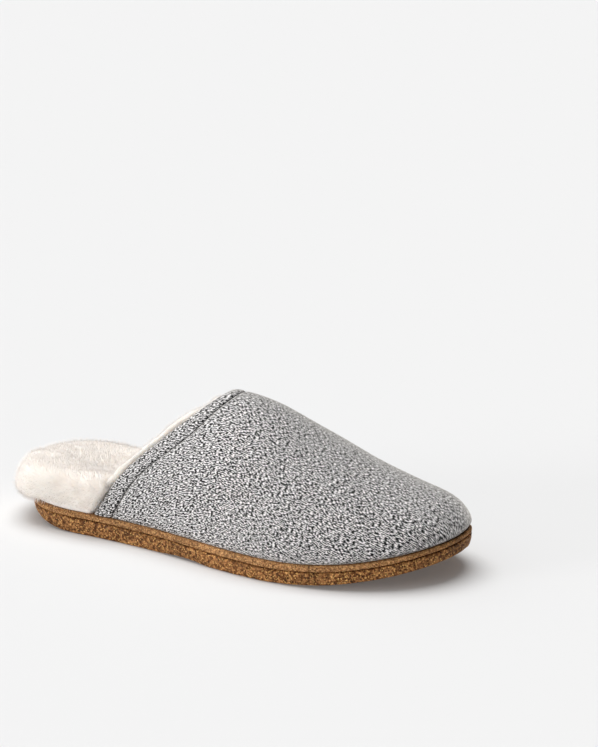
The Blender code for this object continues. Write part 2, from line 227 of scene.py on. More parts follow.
@dataclass
class Last:
    """The form that the whole shoe is made on."""

    length: float = 280.0
    toe_spring: float = 15.2
    heel_lift: float = 9.0
    arch_lift: float = 1.2
    feather_inset: float = 2.6
    crown_shift: float = 4.5
    gap: float = 0.35
    middle: Point = (136.0, -1.2, 0.0)
    heel_lift_end: float = 0.19
    heel_lift_power: float = 2.6
    arch_start: float = 0.36
    arch_end: float = 0.53
    spring_start: float = 0.64
    heel_round: float = 0.15
    heel_round_power: float = 2.0
    toe_round: float = 0.238
    toe_round_power: float = 2.24
    crown_round: float = 0.181
    crown_round_power: float = 2.42
    strip_taper: float = 0.12
    strip_at_heel_tip: float = 1.0
    bulge_height_share: float = 0.2
    band_width: float = 9.5
    band_crown_width: float = 7.0
    band_narrows: float = 0.7
    run_start: float = 0.15
    run_samples: int = 600
    girth_samples: int = 25
    frame_step: float = 1e-4
    collar_step: float = 1e-3
    sole_rows: tuple[SoleRow, ...] = (
        SoleRow(0.00, 0.0, 36.0, 10.0, 3.6),
        SoleRow(0.13, 0.0, 35.5, 10.0, 3.6),
        SoleRow(0.38, -3.0, 38.3, 9.5, 3.8),
        SoleRow(0.68, -2.0, 52.4, 8.1, 4.2),
        SoleRow(0.85, 3.2, 49.9, 7.5, 3.7),
        SoleRow(1.00, 10.7, 46.6, 7.1, 3.2),
    )
    upper_rows: tuple[UpperRow, ...] = (
        UpperRow(0.20, 45.7, 0.3),
        UpperRow(0.30, 60.7, 0.6),
        UpperRow(0.50, 78.6, 1.0),
        UpperRow(0.62, 68.7, 1.4),
        UpperRow(0.75, 51.2, 2.0),
        UpperRow(0.88, 34.1, 2.9),
        UpperRow(1.00, 30.2, 2.7),
    )
    collar_rows: tuple[CollarRow, ...] = (
        CollarRow(0.00, 0.209),
        CollarRow(0.30, 0.243),
        CollarRow(0.60, 0.301),
        CollarRow(0.85, 0.406),
        CollarRow(1.00, 0.470),
    )

    def __post_init__(self) -> None:
        """Draws the curves through the tables."""
        self.centre = curve(self.sole_rows, "along", "centre")
        self.widths = curve(self.sole_rows, "along", "half_width")
        self.outsole_height = curve(self.sole_rows, "along", "outsole")
        self.strip_height = curve(self.sole_rows, "along", "strip")
        self.crown = curve(self.upper_rows, "along", "crown")
        self.bulge = curve(self.upper_rows, "along", "bulge")
        self.collar = curve(self.collar_rows, "height_share", "along")
        self.tip = 1 - self.feather_inset / self.length

    def to_metres(self, points: np.ndarray) -> np.ndarray:
        """Moves points from the shoe's frame, in millimetres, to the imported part's, in metres."""
        return (points - np.array(self.middle)) * MM

    def to_shoe(self, points: np.ndarray) -> np.ndarray:
        """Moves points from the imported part's frame, in metres, to the shoe's, in millimetres."""
        return points / MM + np.array(self.middle)

    def half_width(self, station: np.ndarray, inset: np.ndarray | float) -> np.ndarray:
        """Half width of the sole's outline.

        Args:
            station: Shares of the length.
            inset: How far the outline is drawn in.

        Returns:
            Half widths, with both ends rounded off.
        """
        heel_tip, toe_tip = inset / self.length, 1 - inset / self.length
        heel = round_end((heel_tip + self.heel_round - station) / self.heel_round, self.heel_round_power)
        toe = round_end((station - toe_tip + self.toe_round) / self.toe_round, self.toe_round_power)
        return (self.widths(np.clip(station, 0, 1)) - inset) * heel * toe

    def toe_lift(self, station: np.ndarray) -> np.ndarray:
        """How far the toe spring raises the sole at these stations."""
        share = np.clip((station - self.spring_start) / (1 - self.spring_start), 0, 2)
        return self.toe_spring * share**2

    def tread_z(self, station: np.ndarray) -> np.ndarray:
        """Height of the outsole's underside.

        Args:
            station: Shares of the length.

        Returns:
            Heights over the floor.
        """
        heel = self.heel_lift * np.clip(1 - station / self.heel_lift_end, 0, 2) ** self.heel_lift_power
        arch = np.clip((station - self.arch_start) / (self.arch_end - self.arch_start), 0, 1)
        return heel + self.arch_lift * np.sin(math.pi * arch) ** 2 + self.toe_lift(station)

    def groove_z(self, station: np.ndarray) -> np.ndarray:
        """Height of the outsole's top, at the groove."""
        return self.toe_lift(station) + self.outsole_height(np.clip(station, 0, 1))

    def strip_foot_z(self, station: np.ndarray) -> np.ndarray:
        """Height of the strip's lower face, just over the groove."""
        return self.groove_z(station) + self.gap

    def sole_top_z(self, station: np.ndarray) -> np.ndarray:
        """Height of the strip's top, which runs thin round the back of the heel.

        Args:
            station: Shares of the length.

        Returns:
            Heights over the floor.
        """
        taper = np.clip(1 - station / self.strip_taper, 0, 1) ** 2
        strip = self.strip_height(np.clip(station, 0, 1))
        return self.groove_z(station) + strip - (strip - self.strip_at_heel_tip) * taper

    def ring(self, steps: int, inset: Curve | float, height: Curve) -> np.ndarray:
        """A closed ring round the sole.

        Args:
            steps: Divisions on each side.
            inset: A size, or a function of the station.
            height: Gives z at a station.

        Returns:
            Points from heel to toe on the outer side, and back on the inner side.
        """
        inset_at = inset if callable(inset) else (lambda station: np.full_like(station, inset))
        heel_tip = float(inset_at(np.zeros(1))[0]) / self.length
        toe_tip = 1 - float(inset_at(np.ones(1))[0]) / self.length
        turn = np.linspace(0, math.pi, steps + 1)
        station = heel_tip + (toe_tip - heel_tip) * (1 - np.cos(turn)) / 2
        half = self.half_width(station, inset_at(station))
        half[0] = half[-1] = 0.0
        middle, z = self.centre(np.clip(station, 0, 1)), height(station)
        outer = np.stack([station * self.length, middle - half, z], axis=1)
        inner = np.stack([station * self.length, middle + half, z], axis=1)
        return np.concatenate([outer, inner[-2:0:-1]])

    def edge_normals(self, station: np.ndarray) -> tuple[np.ndarray, np.ndarray]:
        """Outward normals of the feather line in plan.

        Args:
            station: Shares of the length.

        Returns:
            The normals on the outer and on the inner side.
        """
        before = station - self.frame_step
        after = np.minimum(station + self.frame_step, self.tip)
        run = (after - before) * self.length
        turn = (self.centre(after) - self.centre(before)) / run
        inset = self.feather_inset
        close = (self.half_width(after, inset) - self.half_width(before, inset)) / run
        outer = np.stack([turn - close, -np.ones_like(run)], axis=-1)
        inner = np.stack([-turn - close, np.ones_like(run)], axis=-1)
        return unit(outer), unit(inner)

    def upper(self, station: np.ndarray, angle: np.ndarray) -> np.ndarray:
        """Points of the knit's outer face.

        Args:
            station: Shares of the length.
            angle: 0 at the outer feather line, a quarter turn at the crown, a half turn at the inner one.

        Returns:
            Places in millimetres.
        """
        station, angle = np.broadcast_arrays(np.asarray(station, float), np.asarray(angle, float))
        share = (station - self.tip + self.crown_round) / self.crown_round
        closing = round_end(share, self.crown_round_power)
        rise, side = np.sin(angle), np.cos(angle)
        half = self.half_width(station, self.feather_inset)
        y = self.centre(station) + self.crown_shift * rise**2 * closing - half * side
        z = self.sole_top_z(station) + self.gap + self.crown(station) * closing * rise
        height_share = closing * rise / self.bulge_height_share
        swell = self.bulge(station) * height_share * np.exp(1 - height_share)
        outer, inner = self.edge_normals(station)
        away = (outer * (1 + side)[..., None] + inner * (1 - side)[..., None]) / 2
        x = station * self.length + swell * away[..., 0]
        return np.stack([x, y + swell * away[..., 1], z], axis=-1)

    def upper_frame(self, station: np.ndarray, angle: np.ndarray) -> Frame:
        """Local frame of the knit's outer face.

        Args:
            station: Shares of the length.
            angle: Places round the foot.

        Returns:
            Points, derivatives along the foot, and outward unit normals.
        """
        step = self.frame_step
        forward = (self.upper(station + step, angle) - self.upper(station - step, angle)) / (2 * step)
        around = self.upper(station, angle + step) - self.upper(station, angle - step)
        return self.upper(station, angle), forward, unit(np.cross(forward, around))

    def collar_at(self, angle: np.ndarray) -> np.ndarray:
        """Station of the collar line at these angles."""
        return self.collar(np.sin(angle))

    def band_reach(self, angle: np.ndarray) -> np.ndarray:
        """How many stations ahead of the collar line the band's seam lies.

        Args:
            angle: Places round the foot.

        Returns:
            Shares of the length that are one band width across on the knit.
        """
        step = self.collar_step
        ahead = self.upper(self.collar_at(angle + step), angle + step)
        behind = self.upper(self.collar_at(angle - step), angle - step)
        along = unit(ahead - behind)
        _, forward, _ = self.upper_frame(self.collar_at(angle), angle)
        across = forward - np.sum(forward * along, axis=-1, keepdims=True) * along
        narrowing = eased(self.band_narrows, 1, np.sin(angle))
        width = self.band_width + (self.band_crown_width - self.band_width) * narrowing
        return width / np.linalg.norm(across, axis=-1)

    def knit_run(self, station: np.ndarray, angle: np.ndarray) -> np.ndarray:
        """Where a point lies in the knit, measured along the cloth.

        Args:
            station: Shares of the length.
            angle: Places round the foot.

        Returns:
            Millimetres along the crown, round the foot from the crown, and 0.
        """
        line = np.linspace(self.run_start, self.tip, self.run_samples)
        crown = self.upper(line, np.full_like(line, CROWN))
        run = np.concatenate([[0], np.cumsum(np.linalg.norm(np.diff(crown, axis=0), axis=1))])
        turns = CROWN + (angle[..., None] - CROWN) * np.linspace(0, 1, self.girth_samples)
        arc = self.upper(np.repeat(station[..., None], self.girth_samples, axis=-1), turns)
        girth = np.linalg.norm(np.diff(arc, axis=-2), axis=-1).sum(-1) * np.sign(angle - CROWN)
        return np.stack([np.interp(station, line, run), girth, np.zeros_like(girth)], axis=-1)


def opaque(colour: Colour) -> tuple[float, float, float, float]:
    """A colour with full alpha, as a socket takes it."""
    return (*colour, 1.0)


class Tree:
    """Places and links the nodes of one tree.

    A node's sockets go by place where two of them share a name, as a mix's and a random value's do.
    """

    def __init__(self, nodes: NodeTree) -> None:
        """Takes the tree to work on."""
        self.tree = nodes

    def feed(self, node: Node, inputs: dict) -> None:
        """Sets a node's inputs.

        Args:
            node: The node.
            inputs: A value or a socket for each input, by its name or place.
        """
        for key, value in inputs.items():
            if isinstance(value, Socket):
                self.tree.links.new(value, node.inputs[key])
            else:
                node.inputs[key].default_value = value

    def put(self, kind: str, inputs: dict | None = None, **settings: object) -> Node:
        """Adds a node.

        Args:
            kind: Blender's name for the node.
            inputs: A value or a socket for each input, by its name or place.
            **settings: The node's own properties.

        Returns:
            The new node.
        """
        node = self.tree.nodes.new(kind)
        for name, value in settings.items():
            setattr(node, name, value)
        self.feed(node, inputs or {})
        return node

    def math(self, operation: str, *values: object) -> Socket:
        """Adds a Math node on numbers or sockets."""
        return self.put("ShaderNodeMath", dict(enumerate(values)), operation=operation).outputs[0]

    def times(self, first: object, second: object) -> Socket:
        """Adds a node that multiplies two numbers or sockets."""
        return self.math("MULTIPLY", first, second)

    def vector(self, operation: str, *values: object) -> Socket:
        """Adds a Vector Math node whose result is a vector."""
        return self.put("ShaderNodeVectorMath", dict(enumerate(values)), operation=operation).outputs[0]

    def scaled(self, vector: Socket, factor: object) -> Socket:
        """Adds a node that scales a vector by a number or a socket."""
        inputs = {"Vector": vector, "Scale": factor}
        return self.put("ShaderNodeVectorMath", inputs, operation="SCALE").outputs[0]

    def mixed(self, share: object, first: object, second: object) -> Socket:
        """Adds a mix of two colours: the first at a share of 0, the second at 1."""
        inputs = {0: share, 6: first, 7: second}
        return self.put("ShaderNodeMix", inputs, data_type="RGBA").outputs[2]

    def ramped(self, value: object, low: object, high: object, start: float = 0.0,
               end: float = 1.0) -> Socket:
        """Adds a smooth map of the range from low to high onto that from start to end."""
        inputs = {"Value": value, "From Min": low, "From Max": high, "To Min": start, "To Max": end}
        return self.put("ShaderNodeMapRange", inputs, interpolation_type="SMOOTHSTEP").outputs[0]

    def shaded(self, colour: Socket, tone: Socket) -> Socket:
        """Adds nodes that multiply a colour by a tone."""
        grey = self.put("ShaderNodeCombineXYZ", {0: tone, 1: tone, 2: tone}).outputs[0]
        return self.vector("MULTIPLY", colour, grey)

    def group(self, nodes: NodeTree, inputs: dict) -> Node:
        """Adds a node group with these inputs."""
        return self.put("ShaderNodeGroup", inputs, node_tree=nodes)

    def noise(self, place: Socket, scale: object, detail: float) -> Node:
        """Adds a noise texture, which has a value and a colour."""
        return self.put("ShaderNodeTexNoise", {"Vector": place, "Scale": scale, "Detail": detail})

    def drift(self, place: Socket, scale: object, reach: object, detail: float) -> Socket:
        """Adds nodes for a random shift that changes softly from place to place.

        Args:
            place: The coordinates.
            scale: The noise's scale.
            reach: How far it shifts.
            detail: The noise's detail.

        Returns:
            The shift as a vector.
        """
        cloud = self.noise(place, scale, detail)
        centred = self.vector("SUBTRACT", cloud.outputs[1], (0.5, 0.5, 0.5))
        return self.scaled(centred, reach)

    def bump(self, shader: Node, height: Socket, strength: float, depth: float) -> None:
        """Gives a shader a fine relief, whose depth is in millimetres."""
        relief = self.put("ShaderNodeBump", {"Strength": strength, "Distance": depth * MM, "Height": height})
        self.feed(shader, {"Normal": relief.outputs[0]})

    def attribute(self, name: str, kind: str) -> Socket:
        """Adds a node that reads a mesh's own attribute in Geometry Nodes."""
        return self.put("GeometryNodeInputNamedAttribute", {"Name": name}, data_type=kind).outputs[0]

    def chance(self, bounds: Range, seed: int) -> Socket:
        """Adds a random number between two bounds."""
        inputs = {2: bounds[0], 3: bounds[1], "Seed": seed}
        return self.put("FunctionNodeRandomValue", inputs, data_type="FLOAT").outputs[1]

    def dressed(self, instances: Socket, material: Socket) -> Socket:
        """Adds nodes that make one smooth mesh of many instances.

        Args:
            instances: The placed shapes.
            material: Their finish.

        Returns:
            The mesh.
        """
        real = self.put("GeometryNodeRealizeInstances", {"Geometry": instances})
        smooth = self.put("GeometryNodeSetShadeSmooth", {"Geometry": real.outputs[0]})
        inputs = {"Geometry": smooth.outputs[0], "Material": material}
        return self.put("GeometryNodeSetMaterial", inputs).outputs[0]


class Kind(Enum):
    """The kinds of socket that the groups have."""

    FLOAT = "NodeSocketFloat"
    INT = "NodeSocketInt"
    VECTOR = "NodeSocketVector"
    COLOUR = "NodeSocketColor"
    GEOMETRY = "NodeSocketGeometry"
    MATERIAL = "NodeSocketMaterial"


def socket_group(name: str, tree_kind: str, inputs: dict[str, Kind],
                 outputs: dict[str, Kind]) -> tuple[Tree, dict[str, Socket], Node]:
    """Starts a node group with named sockets.

    Args:
        name: The group's name.
        tree_kind: The kind of node tree.
        inputs: Kind of each input, by name.
        outputs: Kind of each output, by name.

    Returns:
        The tree, the sockets that bring the inputs in, and the node that takes the outputs.
    """
    tree = bpy.data.node_groups.new(name, tree_kind)
    for way, sockets in (("INPUT", inputs), ("OUTPUT", outputs)):
        for label, kind in sockets.items():
            tree.interface.new_socket(name=label, in_out=way, socket_type=kind.value)
    bench = Tree(tree)
    entry = bench.put("NodeGroupInput")
    leave = bench.put("NodeGroupOutput")
    return bench, {label: entry.outputs[label] for label in inputs}, leave


@dataclass
class Effects:
    """The surface effects that more than one finish uses, each built once as a group."""

    yarn_wander_scale: float = 0.7
    yarn_wander: float = 0.3
    rows_per_dash: float = 1.6
    row_pull: float = 0.05
    yarn_edge: float = 0.015
    fibre_stretch: Point = (0.8, 1.8, 1.0)
    fibre_scale: float = 1.6
    fibre_shade: Range = (0.76, 1.1)
    fibre_height: float = 0.35
    granule_wander_scale: float = 0.7
    granule_wander: float = 0.8
    chip_scale: float = 1.9
    chip_height: float = 0.35
    dark_granules: Range = (0.1, 0.8)
    # The next two give painted shade that darkens each granule from its middle towards its rim, between the
    # domes
    granule_edge: Range = (0.3, 0.75)
    granule_shade: Range = (1.08, 0.62)
    granule_round: Range = (0.0, 0.7)
    # Pits: a share of the small chips, dented in the relief and painted nearly black as the shade inside them
    pits: Range = (0.8, 0.9)
    pit_share: float = 0.8
    pit_colour: Colour = (0.03, 0.012, 0.004)
    flecks: Range = (0.76, 0.88)
    fleck_reach: Range = (0.35, 0.65)
    cork_cloud_scale: float = 55.0
    cork_cloud: Range = (0.86, 1.14)
    cork_roughness: Range = (0.5, 0.8)
    # Share of a strand's length over which the painted shade of its root fades into the tip's colour
    tip_share: float = 0.75
    pile_cloud_scale: float = 70.0
    pile_tone: Range = (0.97, 1.02)
    curl_scale: float = 330.0
    curl_twist: float = 1.6
    curl_tone: Range = (0.98, 1.01)

    def __post_init__(self) -> None:
        """Builds the groups."""
        self.marl = self.build_marl()
        self.granules = self.build_granules()
        self.pile = self.build_pile()

    def build_marl(self) -> NodeTree:
        """Rows of yarn dashes, dark and light by turns and staggered from row to row.

        Returns:
            A group that puts out the yarn's colour and height.
        """
        bench, have, leave = socket_group(
            "marled_yarn", "ShaderNodeTree",
            {"Run": Kind.VECTOR, "Turn": Kind.FLOAT, "Dash Length": Kind.FLOAT, "Dash Width": Kind.FLOAT,
             "Dark Share": Kind.FLOAT, "Dark": Kind.COLOUR, "Light": Kind.COLOUR},
            {"Color": Kind.COLOUR, "Height": Kind.FLOAT})
        wander = bench.drift(have["Run"], self.yarn_wander_scale, self.yarn_wander, detail=1.0)
        placed = bench.vector("ADD", have["Run"], wander)
        turned = bench.put("ShaderNodeVectorRotate", {"Vector": placed, "Angle": have["Turn"]},
                           rotation_type="Z_AXIS").outputs[0]
        split = bench.put("ShaderNodeSeparateXYZ", {0: turned})
        along = bench.math("DIVIDE", split.outputs[0], have["Dash Length"])
        across = bench.math("DIVIDE", split.outputs[1], have["Dash Width"])
        lattice = bench.put("ShaderNodeCombineXYZ", {0: along, 1: across}).outputs[0]
        patch = bench.noise(lattice, scale=1.0, detail=1.0).outputs[0]
        row = bench.math("SINE", bench.times(across, FULL_TURN / self.rows_per_dash))
        yarn_mix = bench.math("MULTIPLY_ADD", row, self.row_pull, patch)
        darkest = bench.math("SUBTRACT", have["Dark Share"], self.yarn_edge)
        lightest = bench.math("ADD", have["Dark Share"], self.yarn_edge)
        yarn = bench.mixed(bench.ramped(yarn_mix, darkest, lightest), have["Dark"], have["Light"])
        stretched = bench.vector("MULTIPLY", turned, self.fibre_stretch)
        fibre = bench.noise(stretched, self.fibre_scale, detail=2.0).outputs[0]
        shade = bench.ramped(fibre, *NOISE_SPREAD, *self.fibre_shade)
        height = bench.math("MULTIPLY_ADD", fibre, self.fibre_height, yarn_mix)
        bench.feed(leave, {"Color": bench.shaded(yarn, shade), "Height": height})
        return bench.tree

    def build_granules(self) -> NodeTree:
        """Pressed cork granules in rubber, of several browns, with bright flecks and painted shade in pits
        and at rims.

        Returns:
            A group that puts out colour, roughness and height.
        """
        bench, have, leave = socket_group(
            "cork_granules", "ShaderNodeTree",
            {"Place": Kind.VECTOR, "Grain": Kind.FLOAT, "Contrast": Kind.FLOAT, "Dark": Kind.COLOUR,
             "Middle": Kind.COLOUR, "Fleck": Kind.COLOUR},
            {"Color": Kind.COLOUR, "Roughness": Kind.FLOAT, "Height": Kind.FLOAT})
        scale = bench.math("DIVIDE", 1.0, have["Grain"])
        wander_scale = bench.times(scale, self.granule_wander_scale)
        reach = bench.times(have["Grain"], self.granule_wander)
        wander = bench.drift(have["Place"], wander_scale, reach, detail=2.0)
        placed = bench.vector("ADD", have["Place"], wander)
        chip_scale = bench.times(scale, self.chip_scale)
        grain, chip = (bench.put("ShaderNodeTexVoronoi", {"Vector": placed, "Scale": size, "Randomness": 1.0})
                       for size in (scale, chip_scale))
        tone, small = (bench.put("ShaderNodeSeparateColor", {0: cell.outputs["Color"]}).outputs
                       for cell in (grain, chip))
        darker = bench.ramped(tone[0], *self.dark_granules, *FALLING)
        colour = bench.mixed(bench.times(darker, have["Contrast"]), have["Middle"], have["Dark"])
        # Pits are painted dark, as shade in the hollows that the relief dents there
        pit = bench.times(bench.ramped(small[2], *self.pits), have["Contrast"])
        colour = bench.mixed(bench.times(pit, self.pit_share), colour, opaque(self.pit_colour))
        inside = bench.ramped(chip.outputs["Distance"], *self.fleck_reach, *FALLING)
        fleck = bench.times(bench.ramped(small[0], *self.flecks), inside)
        colour = bench.mixed(bench.times(fleck, have["Contrast"]), colour, have["Fleck"])
        cloud = bench.noise(have["Place"], self.cork_cloud_scale, detail=3.0).outputs[0]
        # Shade is a random soft cloud of tone times painted shade towards each granule's rim
        shade = bench.times(bench.ramped(cloud, *NOISE_SPREAD, *self.cork_cloud),
                            bench.ramped(grain.outputs["Distance"], *self.granule_edge, *self.granule_shade))
        domes = bench.ramped(grain.outputs["Distance"], *self.granule_round, *FALLING)
        raised = bench.math("MULTIPLY_ADD", small[1], self.chip_height, domes)
        bench.feed(leave, {"Color": bench.shaded(colour, shade),
                           "Roughness": bench.ramped(tone[1], 0.0, 1.0, *self.cork_roughness),
                           "Height": bench.math("SUBTRACT", raised, pit)})
        return bench.tree

    def build_pile(self) -> NodeTree:
        """Cream fleece, with painted shade that deepens its tone towards the roots, and small woolly curls.

        Returns:
            A group that puts out colour and height.
        """
        bench, have, leave = socket_group(
            "fleece_pile", "ShaderNodeTree",
            {"Place": Kind.VECTOR, "Along": Kind.FLOAT, "Lock Tone": Kind.FLOAT, "Root": Kind.COLOUR,
             "Tip": Kind.COLOUR},
            {"Color": Kind.COLOUR, "Height": Kind.FLOAT})
        # Painted shade: darker towards the root of each strand, lighter at its tip
        colour = bench.mixed(bench.ramped(have["Along"], 0.0, self.tip_share), have["Root"], have["Tip"])
        cloud = bench.noise(have["Place"], self.pile_cloud_scale, detail=3.0).outputs[0]
        tone = bench.times(bench.ramped(cloud, *NOISE_SPREAD, *self.pile_tone),
                           bench.ramped(have["Lock Tone"], 0.0, 1.0, *self.pile_tone))
        curls = bench.noise(have["Place"], self.curl_scale, detail=2.0)
        bench.feed(curls, {"Distortion": self.curl_twist})
        curl = curls.outputs[0]
        woolly = bench.times(tone, bench.ramped(curl, *NOISE_SPREAD, *self.curl_tone))
        bench.feed(leave, {"Color": bench.shaded(colour, woolly), "Height": curl})
        return bench.tree


def start_material(name: str, inputs: dict[str, object]) -> tuple[Material, Tree, Node]:
    """Starts a material with its plain values set.

    Args:
        name: The material's name.
        inputs: Values of its shader's inputs, by name.

    Returns:
        The material, its tree and its shader.
    """
    material = bpy.data.materials.new(name)
    material.use_nodes = True
    bench = Tree(material.node_tree)
    shader = material.node_tree.nodes["Principled BSDF"]
    bench.feed(shader, inputs)
    LOG.info("finish %s", name)
    return material, bench, shader


@dataclass(frozen=True)
class KnitFinish:
    """Marled knit: dark and light yarn in short dashes, with a round, hairy relief."""

    name: str
    turn_deg: float = 1.0
    dash_length: float = 1.8
    dash_width: float = 0.61
    dark_share: float = 0.524
    dark: Colour = (0.008, 0.008, 0.009)
    light: Colour = (0.91, 0.893, 0.888)
    relief: float = 0.16
    relief_strength: float = 0.8
    roughness: float = 0.92
    specular: float = 0.2
    fuzz: float = 0.9
    fuzz_spread: float = 0.42
    fuzz_tint: Colour = (1.0, 0.95, 0.88)

    def make(self, effects: Effects) -> Material:
        """Builds the material.

        Args:
            effects: The shared groups.

        Returns:
            The material, which reads the knit's own run along the cloth.
        """
        material, bench, shader = start_material(self.name, {
            "Roughness": self.roughness, "Specular IOR Level": self.specular, "Sheen Weight": self.fuzz,
            "Sheen Roughness": self.fuzz_spread, "Sheen Tint": opaque(self.fuzz_tint)})
        run = bench.put("ShaderNodeAttribute", attribute_name="knit_run")
        yarn = bench.group(effects.marl, {
            "Turn": math.radians(self.turn_deg), "Dash Length": self.dash_length,
            "Dash Width": self.dash_width, "Dark Share": self.dark_share, "Dark": opaque(self.dark),
            "Light": opaque(self.light), "Run": run.outputs["Vector"]})
        bench.feed(shader, {"Base Color": yarn.outputs["Color"]})
        bench.bump(shader, yarn.outputs["Height"], self.relief_strength, self.relief)
        return material


@dataclass(frozen=True)
class CorkFinish:
    """Cork granules pressed in rubber."""

    name: str
    grain: float
    contrast: float
    relief: float
    dark: Colour
    middle: Colour
    fleck: Colour
    relief_strength: float = 0.7
    specular: float = 0.15

    def make(self, effects: Effects) -> Material:
        """Builds the material.

        Args:
            effects: The shared groups.

        Returns:
            The material, which reads the place on the shoe.
        """
        material, bench, shader = start_material(self.name, {"Specular IOR Level": self.specular})
        place = bench.put("ShaderNodeTexCoord")
        cork = bench.group(effects.granules, {
            "Grain": self.grain * MM, "Contrast": self.contrast, "Dark": opaque(self.dark),
            "Middle": opaque(self.middle), "Fleck": opaque(self.fleck), "Place": place.outputs["Object"]})
        bench.feed(shader, {name: cork.outputs[given] for name, given in
                            (("Base Color", "Color"), ("Roughness", "Roughness"))})
        bench.bump(shader, cork.outputs["Height"], self.relief_strength, self.relief)
        return material


class PilePart(Enum):
    """Whether a fleece finish covers the body of the pile or its strands."""

    BODY = "body"
    STRANDS = "strands"


@dataclass(frozen=True)
class FleeceFinish:
    """Cream fleece, through which light spreads a little."""

    name: str
    part: PilePart
    # The root colour is the tip's with painted shade, as falls among the strands
    root: Colour = (0.942, 0.866, 0.8)
    tip: Colour = (0.962, 0.89, 0.828)
    spread: float = 4.0
    spread_weight: float = 0.7
    spread_tint: Colour = (1.0, 0.9, 0.8)
    roughness: float = 1.0
    specular: float = 0.05
    sheen: float = 0.1
    sheen_spread: float = 0.6
    # The body takes its colour part way from the shaded root colour to the tip's
    body_along: float = 0.6
    body_tone: float = 0.5
    relief: float = 0.6
    relief_strength: float = 0.4

    def make(self, effects: Effects) -> Material:
        """Builds the material.

        Args:
            effects: The shared groups.

        Returns:
            The material. On strands it reads how far along its lock a point is.
        """
        material, bench, shader = start_material(self.name, {
            "Roughness": self.roughness, "Specular IOR Level": self.specular, "Sheen Weight": self.sheen,
            "Sheen Roughness": self.sheen_spread, "Subsurface Weight": self.spread_weight,
            "Subsurface Radius": self.spread_tint, "Subsurface Scale": self.spread * MM})
        place = bench.put("ShaderNodeTexCoord")
        pile = bench.group(effects.pile, {
            "Root": opaque(self.root), "Tip": opaque(self.tip), "Along": self.body_along,
            "Lock Tone": self.body_tone, "Place": place.outputs["Object"]})
        bench.feed(shader, {"Base Color": pile.outputs["Color"]})
        if self.part is PilePart.STRANDS:
            for label, name in (("Along", "along"), ("Lock Tone", "lock_tone")):
                own = bench.put("ShaderNodeAttribute", attribute_name=name)
                bench.feed(pile, {label: own.outputs["Fac"]})
        else:
            bench.bump(shader, pile.outputs["Height"], self.relief_strength, self.relief)
        return material


@dataclass(frozen=True)
class ThreadFinish:
    """Dark sewing thread with a twist."""

    name: str
    colour: Colour = (0.035, 0.035, 0.038)
    paler: float = 2.2
    twist_scale: float = 900.0
    twist_wander: float = 1.5
    relief: float = 0.1
    relief_strength: float = 0.4
    roughness: float = 0.8
    specular: float = 0.3

    def make(self) -> Material:
        """Builds the material.

        Returns:
            The material, with a fine twist in tone and relief.
        """
        material, bench, shader = start_material(self.name, {
            "Roughness": self.roughness, "Specular IOR Level": self.specular})
        place = bench.put("ShaderNodeTexCoord")
        twist = bench.put("ShaderNodeTexWave", {
            "Vector": place.outputs["Object"], "Scale": self.twist_scale,
            "Distortion": self.twist_wander}).outputs[1]
        pale = tuple(self.paler * value for value in self.colour)
        bench.feed(shader, {"Base Color": bench.mixed(twist, opaque(self.colour), opaque(pale))})
        bench.bump(shader, twist, self.relief_strength, self.relief)
        return material


@dataclass
class Finishes:
    """Every finish of the shoe, made once."""

    effects: Effects
    made: dict[str, Material] = field(default_factory=dict)

    def __post_init__(self) -> None:
        """Makes the materials."""
        finishes = (
            KnitFinish("vamp_knit"),
            KnitFinish("collar_knit", dark_share=0.532),
            CorkFinish("coarse_cork", grain=1.35, contrast=1.0, relief=0.25, dark=(0.14, 0.05, 0.013),
                       middle=(0.44, 0.2, 0.07), fleck=(0.88, 0.51, 0.17)),
            CorkFinish("fine_cork", grain=1.0, contrast=0.95, relief=0.12, dark=(0.25, 0.105, 0.036),
                       middle=(0.50, 0.255, 0.105), fleck=(0.82, 0.5, 0.19)),
            FleeceFinish("fleece_body", PilePart.BODY),
            FleeceFinish("fleece_strands", PilePart.STRANDS),
        )
        for finish in finishes:
            self.made[finish.name] = finish.make(self.effects)
        self.made["seam_thread"] = ThreadFinish("seam_thread").make()


def grid_faces(rows: int, cols: int, wrap: bool) -> Faces:
    """Quads between the rows of a grid of points.

    Args:
        rows: How many rows.
        cols: Points in each row.
        wrap: Whether the last point of a row joins its first.

    Returns:
        Vertex numbers of each face.
    """
    faces = []
    for row in range(rows - 1):
        for col in range(cols if wrap else cols - 1):
            after = (col + 1) % cols
            low, high = row * cols, (row + 1) * cols
            faces.append((low + col, low + after, high + after, high + col))
    return faces


def ladder_faces(start: int, count: int) -> Faces:
    """Rungs that close a ring round the sole.

    Args:
        start: Number of the ring's first vertex.
        count: Vertices in the ring.

    Returns:
        Vertex numbers of each face.
    """
    half = count // 2
    faces = [(start, start + 1, start + count - 1)]
    for i in range(1, half - 1):
        faces.append((start + i, start + i + 1, start + count - i - 1, start + count - i))
    faces.append((start + half - 1, start + half, start + half + 1))
    return faces


def layer_faces(rows: int, count: int) -> Faces:
    """Faces of a stack of rings round the sole, closed by rungs below and above."""
    ends = ladder_faces(0, count) + ladder_faces((rows - 1) * count, count)
    return grid_faces(rows, count, wrap=True) + ends


def tube_faces(rows: int, cols: int) -> Faces:
    """Faces of a tube with a flat cap at each end."""
    caps = [tuple(range(cols)), tuple(range((rows - 1) * cols, rows * cols))]
    return grid_faces(rows, cols, wrap=True) + caps


def add_object(name: str, data: bpy.types.ID) -> Piece:
    """Adds an object to the scene.

    Args:
        name: Its name.
        data: Its mesh, lamp or camera.

    Returns:
        The object.
    """
    added = bpy.data.objects.new(name, data)
    bpy.context.scene.collection.objects.link(added)
    return added


def store(mesh: bpy.types.Mesh, name: str, values: np.ndarray) -> None:
    """Writes an attribute on a mesh's points.

    Args:
        mesh: The mesh.
        name: The attribute's name.
        values: A number for each point, or a vector for each.
    """
    kind, key = ("FLOAT", "value") if values.ndim == 1 else ("FLOAT_VECTOR", "vector")
    attribute = mesh.attributes.new(name, kind, "POINT")
    attribute.data.foreach_set(key, values.reshape(-1).astype(np.float32))


